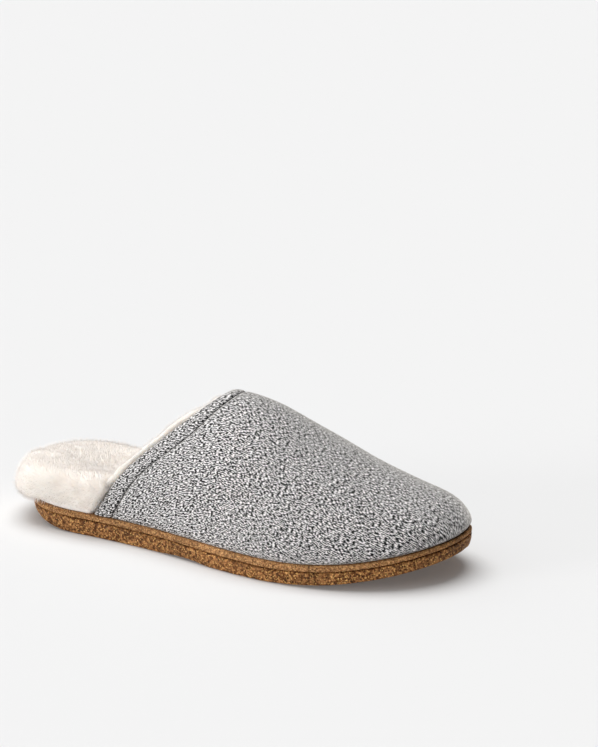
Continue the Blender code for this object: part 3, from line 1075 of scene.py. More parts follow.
def make_piece(name: str, points: np.ndarray, faces: Faces, material: Material,
               runs: np.ndarray | None = None) -> Piece:
    """Makes a smooth mesh object with its place in its mesh.

    Args:
        name: The piece's name.
        points: Vertices in metres.
        faces: Vertex numbers of each face.
        material: Its finish.
        runs: Where each vertex lies in the knit, for a knitted piece.

    Returns:
        The object, linked to the scene.
    """
    mesh = bpy.data.meshes.new(name)
    mesh.from_pydata(points.reshape(-1, 3).tolist(), [], faces)
    if runs is not None:
        store(mesh, "knit_run", runs)
    mesh.materials.append(material)
    bm = bmesh.new()
    bm.from_mesh(mesh)
    bmesh.ops.remove_doubles(bm, verts=bm.verts, dist=MERGE_REACH)
    bmesh.ops.recalc_face_normals(bm, faces=bm.faces)
    bm.to_mesh(mesh)
    bm.free()
    mesh.shade_smooth()
    return add_object(name, mesh)


def settle(piece: Piece) -> Piece:
    """Turns a piece and its modifiers into a plain mesh.

    Args:
        piece: The object.

    Returns:
        The same object, with no modifier left.
    """
    bpy.context.view_layer.update()
    graph = bpy.context.evaluated_depsgraph_get()
    mesh = bpy.data.meshes.new_from_object(piece.evaluated_get(graph), depsgraph=graph)
    mesh.name = piece.name
    piece.modifiers.clear()
    piece.data = mesh
    return piece


class Facing(Enum):
    """Which way the faces of an open sheet are turned before it gets its wall."""

    OUT = 1
    IN = -1


def thicken(piece: Piece, wall: float, facing: Facing, even: bool = False) -> Piece:
    """Gives an open sheet a wall on its inner side.

    Args:
        piece: The sheet, which is highest at its crown.
        wall: The wall's thickness in millimetres.
        facing: Which way the sheet's faces are turned first.
        even: Whether the thickness is kept round bends.

    Returns:
        The same object as a plain mesh.
    """
    crown = max(piece.data.polygons, key=lambda face: face.center.z)
    if crown.normal.z * facing.value < 0:
        piece.data.flip_normals()
    solid = piece.modifiers.new("wall", "SOLIDIFY")
    solid.thickness = wall * MM
    solid.offset = -facing.value
    solid.use_even_offset = even
    return settle(piece)


def hand_over(piece: Piece, slot: str, *nodes: str) -> Piece:
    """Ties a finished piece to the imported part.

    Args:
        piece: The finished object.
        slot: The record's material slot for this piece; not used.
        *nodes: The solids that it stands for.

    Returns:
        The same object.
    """
    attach(piece, BODY)
    if nodes:
        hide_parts(*nodes)
    LOG.info("piece %s: %d faces", piece.name, len(piece.data.polygons))
    return piece


@dataclass
class CorkSole:
    """The moulded outsole and the strip over it, parted by a groove."""

    last: Last
    steps: int = 170
    unevenness: float = 0.12
    wear: tuple[Ripple, ...] = (Ripple(1.0, 9.0, 5), Ripple(0.6, 4.0, 8))
    outsole_side: tuple[SideRow, ...] = (
        SideRow(0.00, 1.8), SideRow(0.02, 1.3), SideRow(0.06, 0.95), SideRow(0.12, 0.75),
        SideRow(0.25, 0.5), SideRow(0.45, 0.3), SideRow(0.70, 0.1), SideRow(0.86, 0.0),
        SideRow(0.93, 0.18), SideRow(0.97, 0.6), SideRow(1.00, 1.4),
    )
    strip_side: tuple[SideRow, ...] = (
        SideRow(0.00, 1.4), SideRow(0.04, 0.6), SideRow(0.09, 0.2), SideRow(0.16, 0.02),
        SideRow(0.36, -0.05), SideRow(0.60, 0.0), SideRow(0.76, 0.2), SideRow(0.88, 0.55),
        SideRow(0.95, 1.0), SideRow(0.99, 1.5), SideRow(1.00, 2.1),
    )

    def layer(self, name: str, side: tuple[SideRow, ...], floor: Curve, ceiling: Curve,
              material: Material) -> Piece:
        """Builds one layer of the sole.

        Args:
            name: The piece's name.
            side: Rings up its side.
            floor: Height of its lower face.
            ceiling: Height of its upper face.
            material: Its finish.

        Returns:
            A closed mesh.
        """
        def side_ring(row: SideRow) -> np.ndarray:
            """Points of one ring up the side."""
            return self.last.ring(self.steps, row.inset,
                                  lambda at: floor(at) + (ceiling(at) - floor(at)) * row.rise)

        points = np.stack([side_ring(row) for row in side])
        rows, count = points.shape[:2]
        away = unit((points - points.mean(axis=1, keepdims=True)) * np.array([1.0, 1.0, 0.0]))
        inner_rows = np.array([min(1.0, 2 * i, 2 * (rows - 1 - i)) for i in range(rows)])
        lift = self.unevenness * rippled(points, self.wear) * inner_rows[:, None]
        points = points + away * lift[..., None]
        return make_piece(name, self.last.to_metres(points), layer_faces(rows, count), material)

    def build(self, finishes: Finishes) -> None:
        """Builds and hands over both layers.

        Args:
            finishes: The shoe's materials.
        """
        last = self.last
        outsole = self.layer("cork_outsole", self.outsole_side, last.tread_z, last.groove_z,
                             finishes.made["coarse_cork"])
        hand_over(outsole, "outsole_cork", "outsole")
        strip = self.layer("cork_strip", self.strip_side, last.strip_foot_z, last.sole_top_z,
                           finishes.made["fine_cork"])
        hand_over(strip, "strip_cork", "sole_strip")


@dataclass
class KnitUpper:
    """The knitted vamp, its collar band and the stitches of the seam between them."""

    last: Last
    wall: float = 2.6
    along_steps: int = 150
    girth_steps: int = 150
    tip_clearance: float = 2e-4
    seam_dip: float = 0.5
    seam_reach: float = 0.9
    pucker: float = 0.35
    pucker_wave: float = 13.0
    pucker_height: float = 9.0
    pucker_rise: Range = (0.5, 4.0)
    pucker_stations: Range = (0.6, 0.9)
    toe_middle: Pair = (205.0, 4.0)
    toe_radius: float = 55.0
    softness: Ripple = Ripple(0.28, 46.0, 21)
    soft_from_seam: Range = (2.0, 14.0)
    soft_from_sole: Range = (3.0, 14.0)
    band_wall: float = 3.4
    band_proud: float = 0.5
    band_steps: int = 15
    band_squareness: float = 5.0
    band_tuck: float = 0.08
    band_run_shift: Point = (3.1, 1.7, 7.0)
    fold_steps: int = 7
    fold_reach: float = 0.6
    stitch_pitch: float = 3.3
    stitch_length: float = 2.5
    stitch_radius: float = 0.26
    stitch_depth: float = 0.42
    stitch_line: float = 1.02
    stitch_end: float = 0.03
    stitch_line_points: int = 400

    def relief(self, station: np.ndarray, point: np.ndarray, seam: np.ndarray,
               reach: np.ndarray) -> np.ndarray:
        """Height of the vamp's soft relief.

        Args:
            station: Shares of the length.
            point: The same places in millimetres.
            seam: Station of the seam at each place.
            reach: Stations that are one band width across at each place.

        Returns:
            Millimetres outwards.
        """
        from_seam = (station - seam) / reach * self.last.band_width
        dip = -self.seam_dip * np.exp(-((from_seam / self.seam_reach) ** 2))
        height = point[..., 2] - self.last.sole_top_z(station)
        near_foot = np.exp(-height / self.pucker_height) * eased(*self.pucker_rise, height)
        toe = eased(*self.pucker_stations, station)
        toe_x, toe_y = self.toe_middle
        outline = np.arctan2(point[..., 1] - toe_y, point[..., 0] - toe_x) * self.toe_radius
        folds = self.pucker * toe * near_foot * np.sin(FULL_TURN * outline / self.pucker_wave)
        soft = self.softness.at(point) * eased(*self.soft_from_seam, from_seam)
        return dip + folds + soft * eased(*self.soft_from_sole, height)

    def vamp(self, material: Material) -> Piece:
        """Builds the vamp from the seam to the toe.

        Args:
            material: The knit.

        Returns:
            A hollow mesh with a wall, open at the collar and underneath.
        """
        last = self.last
        share, angle = np.meshgrid(np.linspace(0, 1, self.along_steps + 1),
                                   np.linspace(0, math.pi, self.girth_steps + 1), indexing="ij")
        reach = last.band_reach(angle)
        seam = last.collar_at(angle) + reach * (1 + last.gap / last.band_width)
        station = seam + (last.tip - seam) * np.sin(share * CROWN)
        point, _, normal = last.upper_frame(np.minimum(station, last.tip - self.tip_clearance), angle)
        point[-1] = last.upper(station[-1], angle[-1])
        lift = self.relief(station, point, seam, reach)
        lift[-1] = 0
        point = point + normal * lift[..., None]
        faces = grid_faces(*share.shape, wrap=False)
        runs = last.knit_run(station, angle)
        piece = make_piece("knit_vamp", last.to_metres(point), faces, material, runs)
        return thicken(piece, self.wall, Facing.OUT, even=True)

    def band_outer(self, share: float) -> float:
        """How far the band's face stands out: a low roll from its fold, at 0, tucked in at its seam, at 1."""
        pillow = self.band_proud * (1 - np.abs(2 * share - 1) ** self.band_squareness)
        return pillow - self.seam_dip * np.exp(-(((share - 1) / self.band_tuck) ** 2))

    def band(self, material: Material) -> Piece:
        """Builds the folded band along the collar.

        Args:
            material: The knit.

        Returns:
            A closed mesh.
        """
        last = self.last
        angle = np.linspace(0, math.pi, 2 * self.girth_steps + 1)
        start, reach = last.collar_at(angle), last.band_reach(angle)
        shares = np.linspace(1, 0, self.band_steps)
        inner_z = self.band_proud - self.band_wall
        columns, stations = [], []
        for share in shares:
            point, _, normal = last.upper_frame(start + reach * share, angle)
            columns.append(point + normal * self.band_outer(share))
            stations.append(start + reach * share)
        point, forward, normal = last.upper_frame(start, angle)
        radius = (float(self.band_outer(0.0)) - inner_z) / 2
        for turn in np.linspace(0, math.pi, self.fold_steps + 2)[1:-1]:
            depth = inner_z + radius + radius * math.cos(turn)
            columns.append(point + normal * depth - unit(forward) * radius * self.fold_reach * math.sin(turn))
            stations.append(start - radius * turn / last.length)
        for share in shares[::-1]:
            point, _, normal = last.upper_frame(start + reach * share, angle)
            columns.append(point + normal * inner_z)
            stations.append(start - radius * math.pi / last.length - reach * share)
        points = np.stack(columns, axis=1)
        rows, cols = points.shape[:2]
        turns = np.repeat(angle[:, None], cols, axis=1)
        runs = last.knit_run(np.stack(stations, axis=1), turns) + np.array(self.band_run_shift)
        return make_piece("knit_collar_band", last.to_metres(points), tube_faces(rows, cols), material, runs)

    def seam_line(self) -> Piece:
        """Draws the line along the seam that the stitches follow.

        Returns:
            A mesh of edges, with the surface's normal at each point.
        """
        last = self.last
        angle = np.linspace(self.stitch_end, math.pi - self.stitch_end, self.stitch_line_points)
        station = last.collar_at(angle) + last.band_reach(angle) * self.stitch_line
        point, _, normal = last.upper_frame(station, angle)
        places = last.to_metres(point - normal * self.stitch_depth)
        mesh = bpy.data.meshes.new("seam_stitches")
        mesh.from_pydata(places.tolist(), [(i, i + 1) for i in range(len(places) - 1)], [])
        store(mesh, "facing", normal)
        return add_object("seam_stitches", mesh)

    def build(self, finishes: Finishes, stitcher: NodeTree) -> None:
        """Builds and hands over the knitted pieces and their stitches.

        Args:
            finishes: The shoe's materials.
            stitcher: The tree that lays stitches along a line.
        """
        hand_over(self.vamp(finishes.made["vamp_knit"]), "knit", "upper")
        hand_over(self.band(finishes.made["collar_knit"]), "band_knit", "collar_band")
        line = self.seam_line()
        run_nodes(line, stitcher, {"Pitch": self.stitch_pitch * MM, "Length": self.stitch_length * MM,
                                   "Radius": self.stitch_radius * MM, "Thread": finishes.made["seam_thread"]})
        hand_over(settle(line), "band_knit")


def build_stitcher() -> NodeTree:
    """Builds the tree that lays stitches along a line.

    Returns:
        A Geometry Nodes tree with the pitch, length and radius of a stitch as inputs.
    """
    bench, have, leave = socket_group(
        "stitch_row", "GeometryNodeTree",
        {"Geometry": Kind.GEOMETRY, "Pitch": Kind.FLOAT, "Length": Kind.FLOAT, "Radius": Kind.FLOAT,
         "Thread": Kind.MATERIAL},
        {"Geometry": Kind.GEOMETRY})
    line = bench.put("GeometryNodeMeshToCurve", {"Mesh": have["Geometry"]})
    even = bench.put("GeometryNodeResampleCurve", {"Curve": line.outputs[0], "Length": have["Pitch"]},
                     mode="LENGTH")
    stitch = bench.put("GeometryNodeMeshUVSphere", {"Segments": 8, "Rings": 6, "Radius": 1.0})
    tangent = bench.put("GeometryNodeInputTangent")
    lie = bench.put("FunctionNodeAlignRotationToVector", {"Vector": tangent.outputs[0]}, axis="X")
    stand = bench.put("FunctionNodeAlignRotationToVector",
                      {"Rotation": lie.outputs[0], "Vector": bench.attribute("facing", "FLOAT_VECTOR")},
                      axis="Z", pivot_axis="X")
    half = bench.times(have["Length"], 0.5)
    size = bench.put("ShaderNodeCombineXYZ", {0: half, 1: have["Radius"], 2: have["Radius"]})
    placed = bench.put("GeometryNodeInstanceOnPoints",
                       {"Points": even.outputs[0], "Instance": stitch.outputs["Mesh"],
                        "Rotation": stand.outputs[0], "Scale": size.outputs[0]})
    bench.feed(leave, {"Geometry": bench.dressed(placed.outputs[0], have["Thread"])})
    return bench.tree


@dataclass(frozen=True)
class Strands:
    """The strands of one fleece: how many grow on a square metre, their sizes and how they lie."""

    density: float
    length: float
    width: float
    lean: float
    clump: float
    seed: int
    bend: float = 0.5

    def inputs(self, material: Material) -> dict[str, object]:
        """Inputs of the tree that grows fleece, by name."""
        return {"Density": self.density, "Length": self.length * MM, "Width": self.width * MM,
                "Lean": self.lean, "Clump": self.clump, "Bend": self.bend, "Seed": self.seed,
                "Fleece": material}


@dataclass(frozen=True)
class Piler:
    """Grows fleece on a surface: the strand's shape, and how much chance there is in it."""

    sides: int = 3
    segments: int = 2
    stray: float = 0.35
    lengths: Range = (0.55, 1.25)
    spin_seed: int = 11
    length_seed: int = 23
    tone_seed: int = 37

    def build(self) -> NodeTree:
        """Builds the tree.

        Returns:
            A Geometry Nodes tree with the pile's density and the strands' sizes as inputs. It reads the
            surface's own pile_density and pile_length.
        """
        bench, have, leave = socket_group(
            "fleece_strands", "GeometryNodeTree",
            {"Geometry": Kind.GEOMETRY, "Density": Kind.FLOAT, "Length": Kind.FLOAT, "Width": Kind.FLOAT,
             "Lean": Kind.FLOAT, "Clump": Kind.FLOAT, "Bend": Kind.FLOAT, "Seed": Kind.INT,
             "Fleece": Kind.MATERIAL},
            {"Geometry": Kind.GEOMETRY})
        density = bench.times(have["Density"], bench.attribute("pile_density", "FLOAT"))
        roots = bench.put("GeometryNodeDistributePointsOnFaces",
                          {"Mesh": have["Geometry"], "Density": density, "Seed": have["Seed"]})
        place = bench.put("GeometryNodeInputPosition").outputs[0]
        lean = bench.drift(place, have["Clump"], have["Lean"], detail=1.0)
        stray = bench.put("FunctionNodeRandomValue",
                          {0: (-self.stray,) * 3, 1: (self.stray,) * 3, "Seed": have["Seed"]},
                          data_type="FLOAT_VECTOR")
        heading = bench.vector("ADD", roots.outputs["Normal"], lean)
        heading = bench.vector("ADD", heading, stray.outputs[0])
        stand = bench.put("FunctionNodeAlignRotationToVector", {"Vector": heading}, axis="Z")
        spin = bench.chance((0.0, FULL_TURN), self.spin_seed)
        about = bench.put("FunctionNodeAxisAngleToRotation", {"Axis": (0, 0, 1), "Angle": spin})
        turned = bench.put("FunctionNodeRotateRotation", {0: stand.outputs[0], 1: about.outputs[0]},
                           rotation_space="LOCAL")
        strand = bench.put("GeometryNodeMeshCone", {
            "Vertices": self.sides, "Side Segments": self.segments, "Radius Top": 0.0,
            "Radius Bottom": 1.0, "Depth": 1.0})
        height = bench.put("ShaderNodeSeparateXYZ", {0: place}).outputs[2]
        curl = bench.times(bench.times(height, height), have["Bend"])
        shift = bench.put("ShaderNodeCombineXYZ", {0: curl}).outputs[0]
        bent = bench.put("GeometryNodeSetPosition", {"Geometry": strand.outputs["Mesh"], "Offset": shift})
        marked = bench.put("GeometryNodeStoreNamedAttribute",
                           {"Geometry": bent.outputs[0], "Name": "along", "Value": height},
                           data_type="FLOAT", domain="POINT")
        full = bench.times(have["Length"], bench.attribute("pile_length", "FLOAT"))
        reach = bench.times(full, bench.chance(self.lengths, self.length_seed))
        size = bench.put("ShaderNodeCombineXYZ", {0: have["Width"], 1: have["Width"], 2: reach})
        grown = bench.put("GeometryNodeInstanceOnPoints",
                          {"Points": roots.outputs["Points"], "Instance": marked.outputs[0],
                           "Rotation": turned.outputs[0], "Scale": size.outputs[0]})
        tone = bench.chance((0.0, 1.0), self.tone_seed)
        toned = bench.put("GeometryNodeStoreNamedAttribute",
                          {"Geometry": grown.outputs[0], "Name": "lock_tone", "Value": tone},
                          data_type="FLOAT", domain="INSTANCE")
        bench.feed(leave, {"Geometry": bench.dressed(toned.outputs[0], have["Fleece"])})
        return bench.tree


def run_nodes(piece: Piece, tree: NodeTree, values: dict[str, object]) -> None:
    """Puts a Geometry Nodes tree on a piece.

    Args:
        piece: The object.
        tree: The tree.
        values: A value for each of its inputs, by name.
    """
    modifier = piece.modifiers.new(tree.name, "NODES")
    modifier.node_group = tree
    for item in tree.interface.items_tree:
        if item.item_type == "SOCKET" and item.in_out == "INPUT" and item.name in values:
            modifier[item.identifier] = values[item.name]


@dataclass
class Fleece:
    """The deep footbed, the roll along the collar and the lining inside the upper."""

    last: Last
    pile_rows: tuple[PileRow, ...] = (
        PileRow(0.00, 2.6, 2.2, 8.2),
        PileRow(0.10, -1.9, 1.2, 8.0),
        PileRow(0.28, -9.0, 0.7, 8.2),
        PileRow(0.50, -10.6, 0.4, 9.0),
        PileRow(0.76, -8.8, 1.0, 11.0),
        PileRow(0.96, -4.9, 4.2, 14.5),
        PileRow(1.00, 2.9, 9.4, 18.5),
        PileRow(0.92, 12.0, 15.5, 23.0),
        PileRow(0.80, 21.0, 21.5, 27.0),
        PileRow(0.74, 27.5, 27.5, 31.0),
        PileRow(0.72, 31.0, 31.0, 33.5),
    )
    crest_row: int = 6
    rows_between: int = 5
    footbed_steps: int = 300
    footbed_fill: float = 0.6
    heel_height: float = 22.0
    upper_height: float = 9.5
    back_flat: float = 0.15
    back_flat_power: float = 8.0
    swell_full: float = 0.12
    swell_end: float = 0.2
    inside_upper: float = 0.206
    follows_collar: float = 0.045
    draws_in: float = 0.01
    draws_in_top: float = 0.05
    draws_in_rows: Range = (4.0, 7.0)
    low_from: float = 0.33
    hollow: Range = (0.09, 0.2)
    heel_fill: float = 0.85
    open_heel: Range = (0.2, 0.3)
    lumps: tuple[Ripple, ...] = (Ripple(0.5, 26.0, 3), Ripple(0.25, 11.0, 4), Ripple(0.1, 5.0, 6))
    lump_base: float = 1.3
    lump_rise: Range = (1.0, 7.0)
    lumps_inside: float = 0.25
    pile_rise: Range = (2.0, 5.0)
    pile_reach: Range = (0.5, 0.62)
    density_everywhere: float = 0.03
    density_in_reach: float = 0.3
    density_at_heel: float = 0.67
    length_inside: float = 0.55
    roll_steps: int = 150
    roll_sides: int = 20
    roll_radius: float = 4.5
    roll_depth: float = 3.9
    roll_behind: float = 5.4
    roll_end_share: float = 0.2
    roll_end_steps: float = 9.0
    roll_end_start: float = 0.6
    roll_crown: Range = (0.88, 0.985)
    roll_crown_taper: float = 0.45
    roll_crown_drop: float = 2.6
    roll_lumps: tuple[Ripple, ...] = (Ripple(0.09, 15.0, 31), Ripple(0.05, 7.0, 32))
    lining_steps: int = 90
    lining_depth: float = 3.6
    lining_wall: float = 2.2
    lining_lumps: Ripple = Ripple(0.3, 14.0, 41)
    lining_from_collar: float = 0.001
    lining_from_toe: float = 0.03
    lining_share: float = 0.96
    lining_foot: float = 0.12
    lining_pile: Range = (0.45, 0.75)
    lining_density: float = 0.02
    footbed_strands: Strands = Strands(1.5e6, 3.0, 0.1, lean=1.1, clump=170.0, seed=3)
    roll_strands: Strands = Strands(1.6e6, 2.7, 0.1, lean=1.2, clump=170.0, seed=5)
    lining_strands: Strands = Strands(0.55e6, 3.0, 0.13, lean=1.8, clump=110.0, seed=7)

    def footbed_points(self) -> np.ndarray:
        """Rings of the footbed's body, before its lumps.

        Returns:
            Points in millimetres, one ring per row.
        """
        knots = np.arange(len(self.pile_rows))
        columns = [Spline(knots, [getattr(row, part.name) for row in self.pile_rows])
                   for part in fields(PileRow)]
        rings = []
        for place in np.linspace(0, knots[-1], self.rows_between * knots[-1] + 1):
            row = PileRow(*(float(column(place)) for column in columns))
            rings.append(self.pile_ring(float(place), row))
        return np.stack(rings)

    def pile_ring(self, place: float, row: PileRow) -> np.ndarray:
        """One ring of the footbed's body.

        Args:
            place: Its place in the table of rows.
            row: The table's values there.

        Returns:
            Points round the footbed, in millimetres.
        """
        last = self.last
        collar = self.inside_upper + self.follows_collar * row.rise
        draws_in = self.draws_in + self.draws_in_top * float(eased(*self.draws_in_rows, place))

        def inset(station: np.ndarray) -> np.ndarray:
            """Inset at these stations, before the ring swells out at the back."""
            inside = eased(collar - draws_in, collar, station)
            return row.side_inset + (row.upper_inset - row.side_inset) * inside

        def height(station: np.ndarray) -> np.ndarray:
            """Height of the ring.

            Args:
                station: Shares of the length.

            Returns:
                Heights over the floor.
            """
            low = eased(self.inside_upper, self.low_from, station)
            pile = self.heel_height + (self.upper_height - self.heel_height) * low
            fill = self.heel_fill * (1 - eased(*self.hollow, station)) if place > self.crest_row else 0.0
            foot = last.sole_top_z(np.clip(station, 0, 1)) + last.gap
            return foot + pile * (row.rise + (1 - row.rise) * fill)

        ring = last.ring(self.footbed_steps, inset, height)
        return self.swelled(ring, row.side_inset - row.back_inset)

    def swelled(self, ring: np.ndarray, swell: float) -> np.ndarray:
        """Pushes a ring outwards round the back of the heel.

        Args:
            ring: Points round the footbed.
            swell: How far it moves where it faces backwards.

        Returns:
            The moved points.
        """
        along = np.roll(ring, -1, axis=0) - np.roll(ring, 1, axis=0)
        out = unit(np.stack([along[:, 1], -along[:, 0]], axis=1))
        behind = np.clip(-out[:, 0], 0, 1)
        share = eased(0, 1, behind) * (1 - self.back_flat * behind**self.back_flat_power)
        share = share * (1 - eased(self.swell_full, self.swell_end, ring[:, 0] / self.last.length))
        moved = ring.copy()
        moved[:, :2] += out * (swell * share)[:, None]
        return moved

    def footbed(self, material: Material) -> Piece:
        """Builds the footbed's body.

        Args:
            material: The fleece.

        Returns:
            A closed, lumpy mesh that says where its pile is thick and long.
        """
        last = self.last
        points = self.footbed_points()
        faces = layer_faces(*points.shape[:2])
        piece = make_piece("fleece_footbed_body", last.to_metres(points), faces, material)
        mesh = piece.data
        place = last.to_shoe(np.array([vertex.co for vertex in mesh.vertices]))
        normal = np.array([vertex.normal for vertex in mesh.vertices])
        over_sole = place[:, 2] - last.sole_top_z(np.clip(place[:, 0] / last.length, 0, 1))
        open_heel = 1 - eased(*self.open_heel, place[:, 0] / last.length)
        lift = (self.lump_base + rippled(place, self.lumps)) * eased(*self.lump_rise, over_sole)
        lift = lift * (self.lumps_inside + (1 - self.lumps_inside) * open_heel)
        place = place + normal * lift[:, None]
        mesh.vertices.foreach_set("co", last.to_metres(place).astype(np.float32).reshape(-1))
        mesh.update()
        reach = 1 - eased(*self.pile_reach, place[:, 0] / last.length)
        thick = self.density_everywhere + self.density_in_reach * reach + self.density_at_heel * open_heel
        self.mark(mesh, eased(*self.pile_rise, over_sole) * thick,
                  self.length_inside + (1 - self.length_inside) * open_heel)
        return piece

    def mark(self, mesh: bpy.types.Mesh, thick: np.ndarray, long: np.ndarray) -> None:
        """Writes each point's share of the pile's full density and of its full length."""
        store(mesh, "pile_density", thick)
        store(mesh, "pile_length", long)

    def roll(self, material: Material) -> Piece:
        """Builds the roll of fleece behind the collar band.

        Args:
            material: The fleece.

        Returns:
            A closed, lumpy mesh that says where its pile is thick and long.
        """
        last = self.last
        first = math.asin(self.roll_end_share)
        angle = np.linspace(first, math.pi - first, self.roll_steps)
        point, forward, normal = last.upper_frame(last.collar_at(angle), angle)
        forward = unit(forward)
        crown = eased(*self.roll_crown, np.sin(angle))
        slimmer = 1 - self.roll_crown_taper * crown
        depth = self.roll_depth + self.roll_crown_drop * crown
        middle = point - normal * depth[:, None] - forward * (self.roll_behind * slimmer)[:, None]
        steps = np.arange(self.roll_steps)
        from_end = (np.minimum(steps, steps[::-1]) + self.roll_end_start) / self.roll_end_steps
        radius = self.roll_radius * np.sqrt(np.clip(from_end, 0, 1)) * slimmer
        turns = np.linspace(0, FULL_TURN, self.roll_sides, endpoint=False)[None, :, None]
        spokes = normal[:, None] * np.sin(turns) + forward[:, None] * np.cos(turns)
        spokes = radius[:, None, None] * spokes
        lumps = 1 + rippled(middle[:, None] + spokes, self.roll_lumps)
        points = middle[:, None] + spokes * lumps[..., None]
        faces = tube_faces(*points.shape[:2])
        piece = make_piece("collar_fleece_body", last.to_metres(points), faces, material)
        ones = np.ones(len(piece.data.vertices))
        self.mark(piece.data, ones, ones)
        return piece

    def lining(self, material: Material) -> Piece:
        """Builds the fleece lining inside the vamp and the band.

        Args:
            material: The fleece.

        Returns:
            A thin closed shell that says where its pile is thick and long.
        """
        last = self.last
        share, angle = np.meshgrid(
            np.linspace(0, self.lining_share, self.lining_steps),
            np.linspace(self.lining_foot, math.pi - self.lining_foot, self.lining_steps), indexing="ij")
        start = last.collar_at(angle) + self.lining_from_collar
        station = start + (last.tip - self.lining_from_toe - start) * share
        point, _, normal = last.upper_frame(station, angle)
        point = point - normal * (self.lining_depth + self.lining_lumps.at(point))[..., None]
        rows, cols = share.shape
        faces = grid_faces(rows, cols, wrap=False)
        toe = (rows - 1) * cols
        for rung in range(cols // 2 - 1):
            far = toe + cols - 1 - rung
            faces.append((toe + rung, toe + rung + 1, far - 1, far))
        piece = make_piece("fleece_lining_body", last.to_metres(point), faces, material)
        thicken(piece, self.lining_wall, Facing.IN)
        place = last.to_shoe(np.array([vertex.co for vertex in piece.data.vertices]))
        near = 1 - eased(*self.lining_pile, place[:, 0] / last.length)
        self.mark(piece.data, self.lining_density + near, np.ones(len(place)))
        return piece

    def build(self, finishes: Finishes, piler: NodeTree) -> None:
        """Builds and hands over the fleece.

        Args:
            finishes: The shoe's materials.
            piler: The tree that grows fleece.
        """
        body, hair = finishes.made["fleece_body"], finishes.made["fleece_strands"]
        grown = (
            (self.footbed(body), "fleece_footbed", "footbed_fleece", ("fleece_footbed",),
             self.footbed_strands),
            (self.roll(body), "collar_fleece", "roll_fleece", ("collar_fleece",), self.roll_strands),
            (self.lining(body), "fleece_lining", "roll_fleece", (), self.lining_strands),
        )
        for piece, name, slot, nodes, sizes in grown:
            strands = add_object(name + "_strands", piece.data.copy())
            run_nodes(strands, piler, sizes.inputs(hair))
            settle(strands)
            hand_over(piece, slot, *nodes)
            hand_over(strands, slot)
            "fleece_footbed" in nodes


@dataclass(frozen=True)
class Lamp:
    """A soft lamp far away: its strength, how wide it looks and where it shines from."""

    name: str
    strength: float
    angle_deg: float
    comes_from: Point


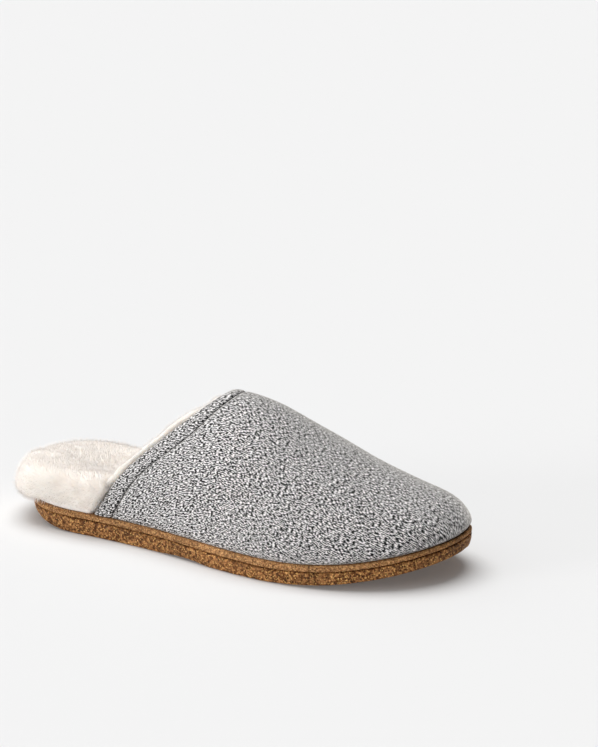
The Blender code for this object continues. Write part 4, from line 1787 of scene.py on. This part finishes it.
@dataclass
class Studio:
    """A plain pale floor, soft light and the camera."""

    last: Last
    azimuth_deg: float = 28.711
    elevation_deg: float = 18.385
    distance: float = 1585.0
    target: Point = (140.0, 0.0, 30.0)
    focal_px: float = 2678.6
    target_px: Pair = (241.83, 493.81)
    sensor: float = 36.0
    near_clip: float = 0.05
    far_clip: float = 60.0
    floor_tone: float = 0.69
    floor_glow: float = 0.08
    floor_roughness: float = 0.9
    floor_reach: float = 12.0
    floor_drop: float = 0.05
    sky_side: Point = (-0.87, -0.45, 0.2)
    sky_turn: Range = (-0.8, 0.8)
    sky_range: Range = (0.02, 0.56)
    lamps: tuple[Lamp, ...] = (
        Lamp("high_lamp", 2.6, 50.0, (-0.2, 0.1, 0.97)),
        Lamp("side_lamp", 1.9, 24.0, (-0.64, -0.76, 0.07)),
    )

    def camera(self) -> None:
        """Places the camera at the photograph's angle."""
        azimuth, elevation = math.radians(self.azimuth_deg), math.radians(self.elevation_deg)
        back = Vector((math.sin(azimuth) * math.cos(elevation), -math.cos(azimuth) * math.cos(elevation),
                       math.sin(elevation)))
        lens = bpy.data.cameras.new("photo_camera")
        lens.sensor_width = self.sensor
        lens.lens = self.focal_px * self.sensor / max(IMAGE_SIZE)
        lens.clip_start = self.near_clip
        lens.clip_end = self.far_clip
        camera = add_object("photo_camera", lens)
        aim = Vector(self.last.to_metres(np.array(self.target)))
        camera.location = aim + back * self.distance * MM
        off_x = (self.target_px[0] - IMAGE_SIZE[0] / 2) / self.focal_px
        off_y = (IMAGE_SIZE[1] / 2 - self.target_px[1]) / self.focal_px
        seen = Vector((off_x, off_y, -1)).rotation_difference(Vector((0, 0, -1)))
        camera.rotation_mode = "QUATERNION"
        camera.rotation_quaternion = (-back).to_track_quat("-Z", "Y") @ seen
        bpy.context.scene.camera = camera

    def floor(self) -> None:
        """Lays the floor, a pale sheet with a slight glow."""
        material, _, _ = start_material("studio_floor", {
            "Base Color": opaque((self.floor_tone,) * 3), "Roughness": self.floor_roughness,
            "Specular IOR Level": 0.0, "Emission Color": WHITE, "Emission Strength": self.floor_glow})
        mesh = bpy.data.meshes.new("studio_floor")
        reach, under = self.floor_reach, -self.floor_drop * MM
        corners = [(-reach, -reach, under), (reach, -reach, under), (reach, reach, under),
                   (-reach, reach, under)]
        mesh.from_pydata(corners, [], [(0, 1, 2, 3)])
        mesh.materials.append(material)
        floor = add_object("studio_floor", mesh)

    def lights(self) -> None:
        """Sets a sky that is lighter on the heel's side, a soft lamp above and a low one on that side."""
        world = bpy.data.worlds.new("studio_sky")
        world.use_nodes = True
        bench = Tree(world.node_tree)
        way = bench.put("ShaderNodeTexCoord").outputs["Generated"]
        facing = bench.put("ShaderNodeVectorMath", {0: way, 1: self.sky_side},
                           operation="DOT_PRODUCT").outputs["Value"]
        strength = bench.ramped(facing, *self.sky_turn, *self.sky_range)
        bench.feed(world.node_tree.nodes["Background"], {"Color": WHITE, "Strength": strength})
        bpy.context.scene.world = world
        for lamp in self.lamps:
            light = bpy.data.lights.new(lamp.name, "SUN")
            light.energy = lamp.strength
            light.angle = math.radians(lamp.angle_deg)
            sun = add_object(lamp.name, light)
            sun.rotation_mode = "QUATERNION"
            sun.rotation_quaternion = Vector(lamp.comes_from).to_track_quat("Z", "Y")
        bpy.context.scene.view_settings.view_transform = "Standard"

    def build(self) -> None:
        """Sets the whole studio."""
        self.floor()
        self.lights()
        self.camera()


def main() -> None:
    """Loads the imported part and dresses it."""
    logging.basicConfig(level=logging.INFO, format="%(name)s: %(message)s")
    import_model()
    last = Last()
    finishes = Finishes(Effects())
    CorkSole(last).build(finishes)
    KnitUpper(last).build(finishes, build_stitcher())
    Fleece(last).build(finishes, Piler().build())
    Studio(last).build()


if __name__ == "__main__":
    main()
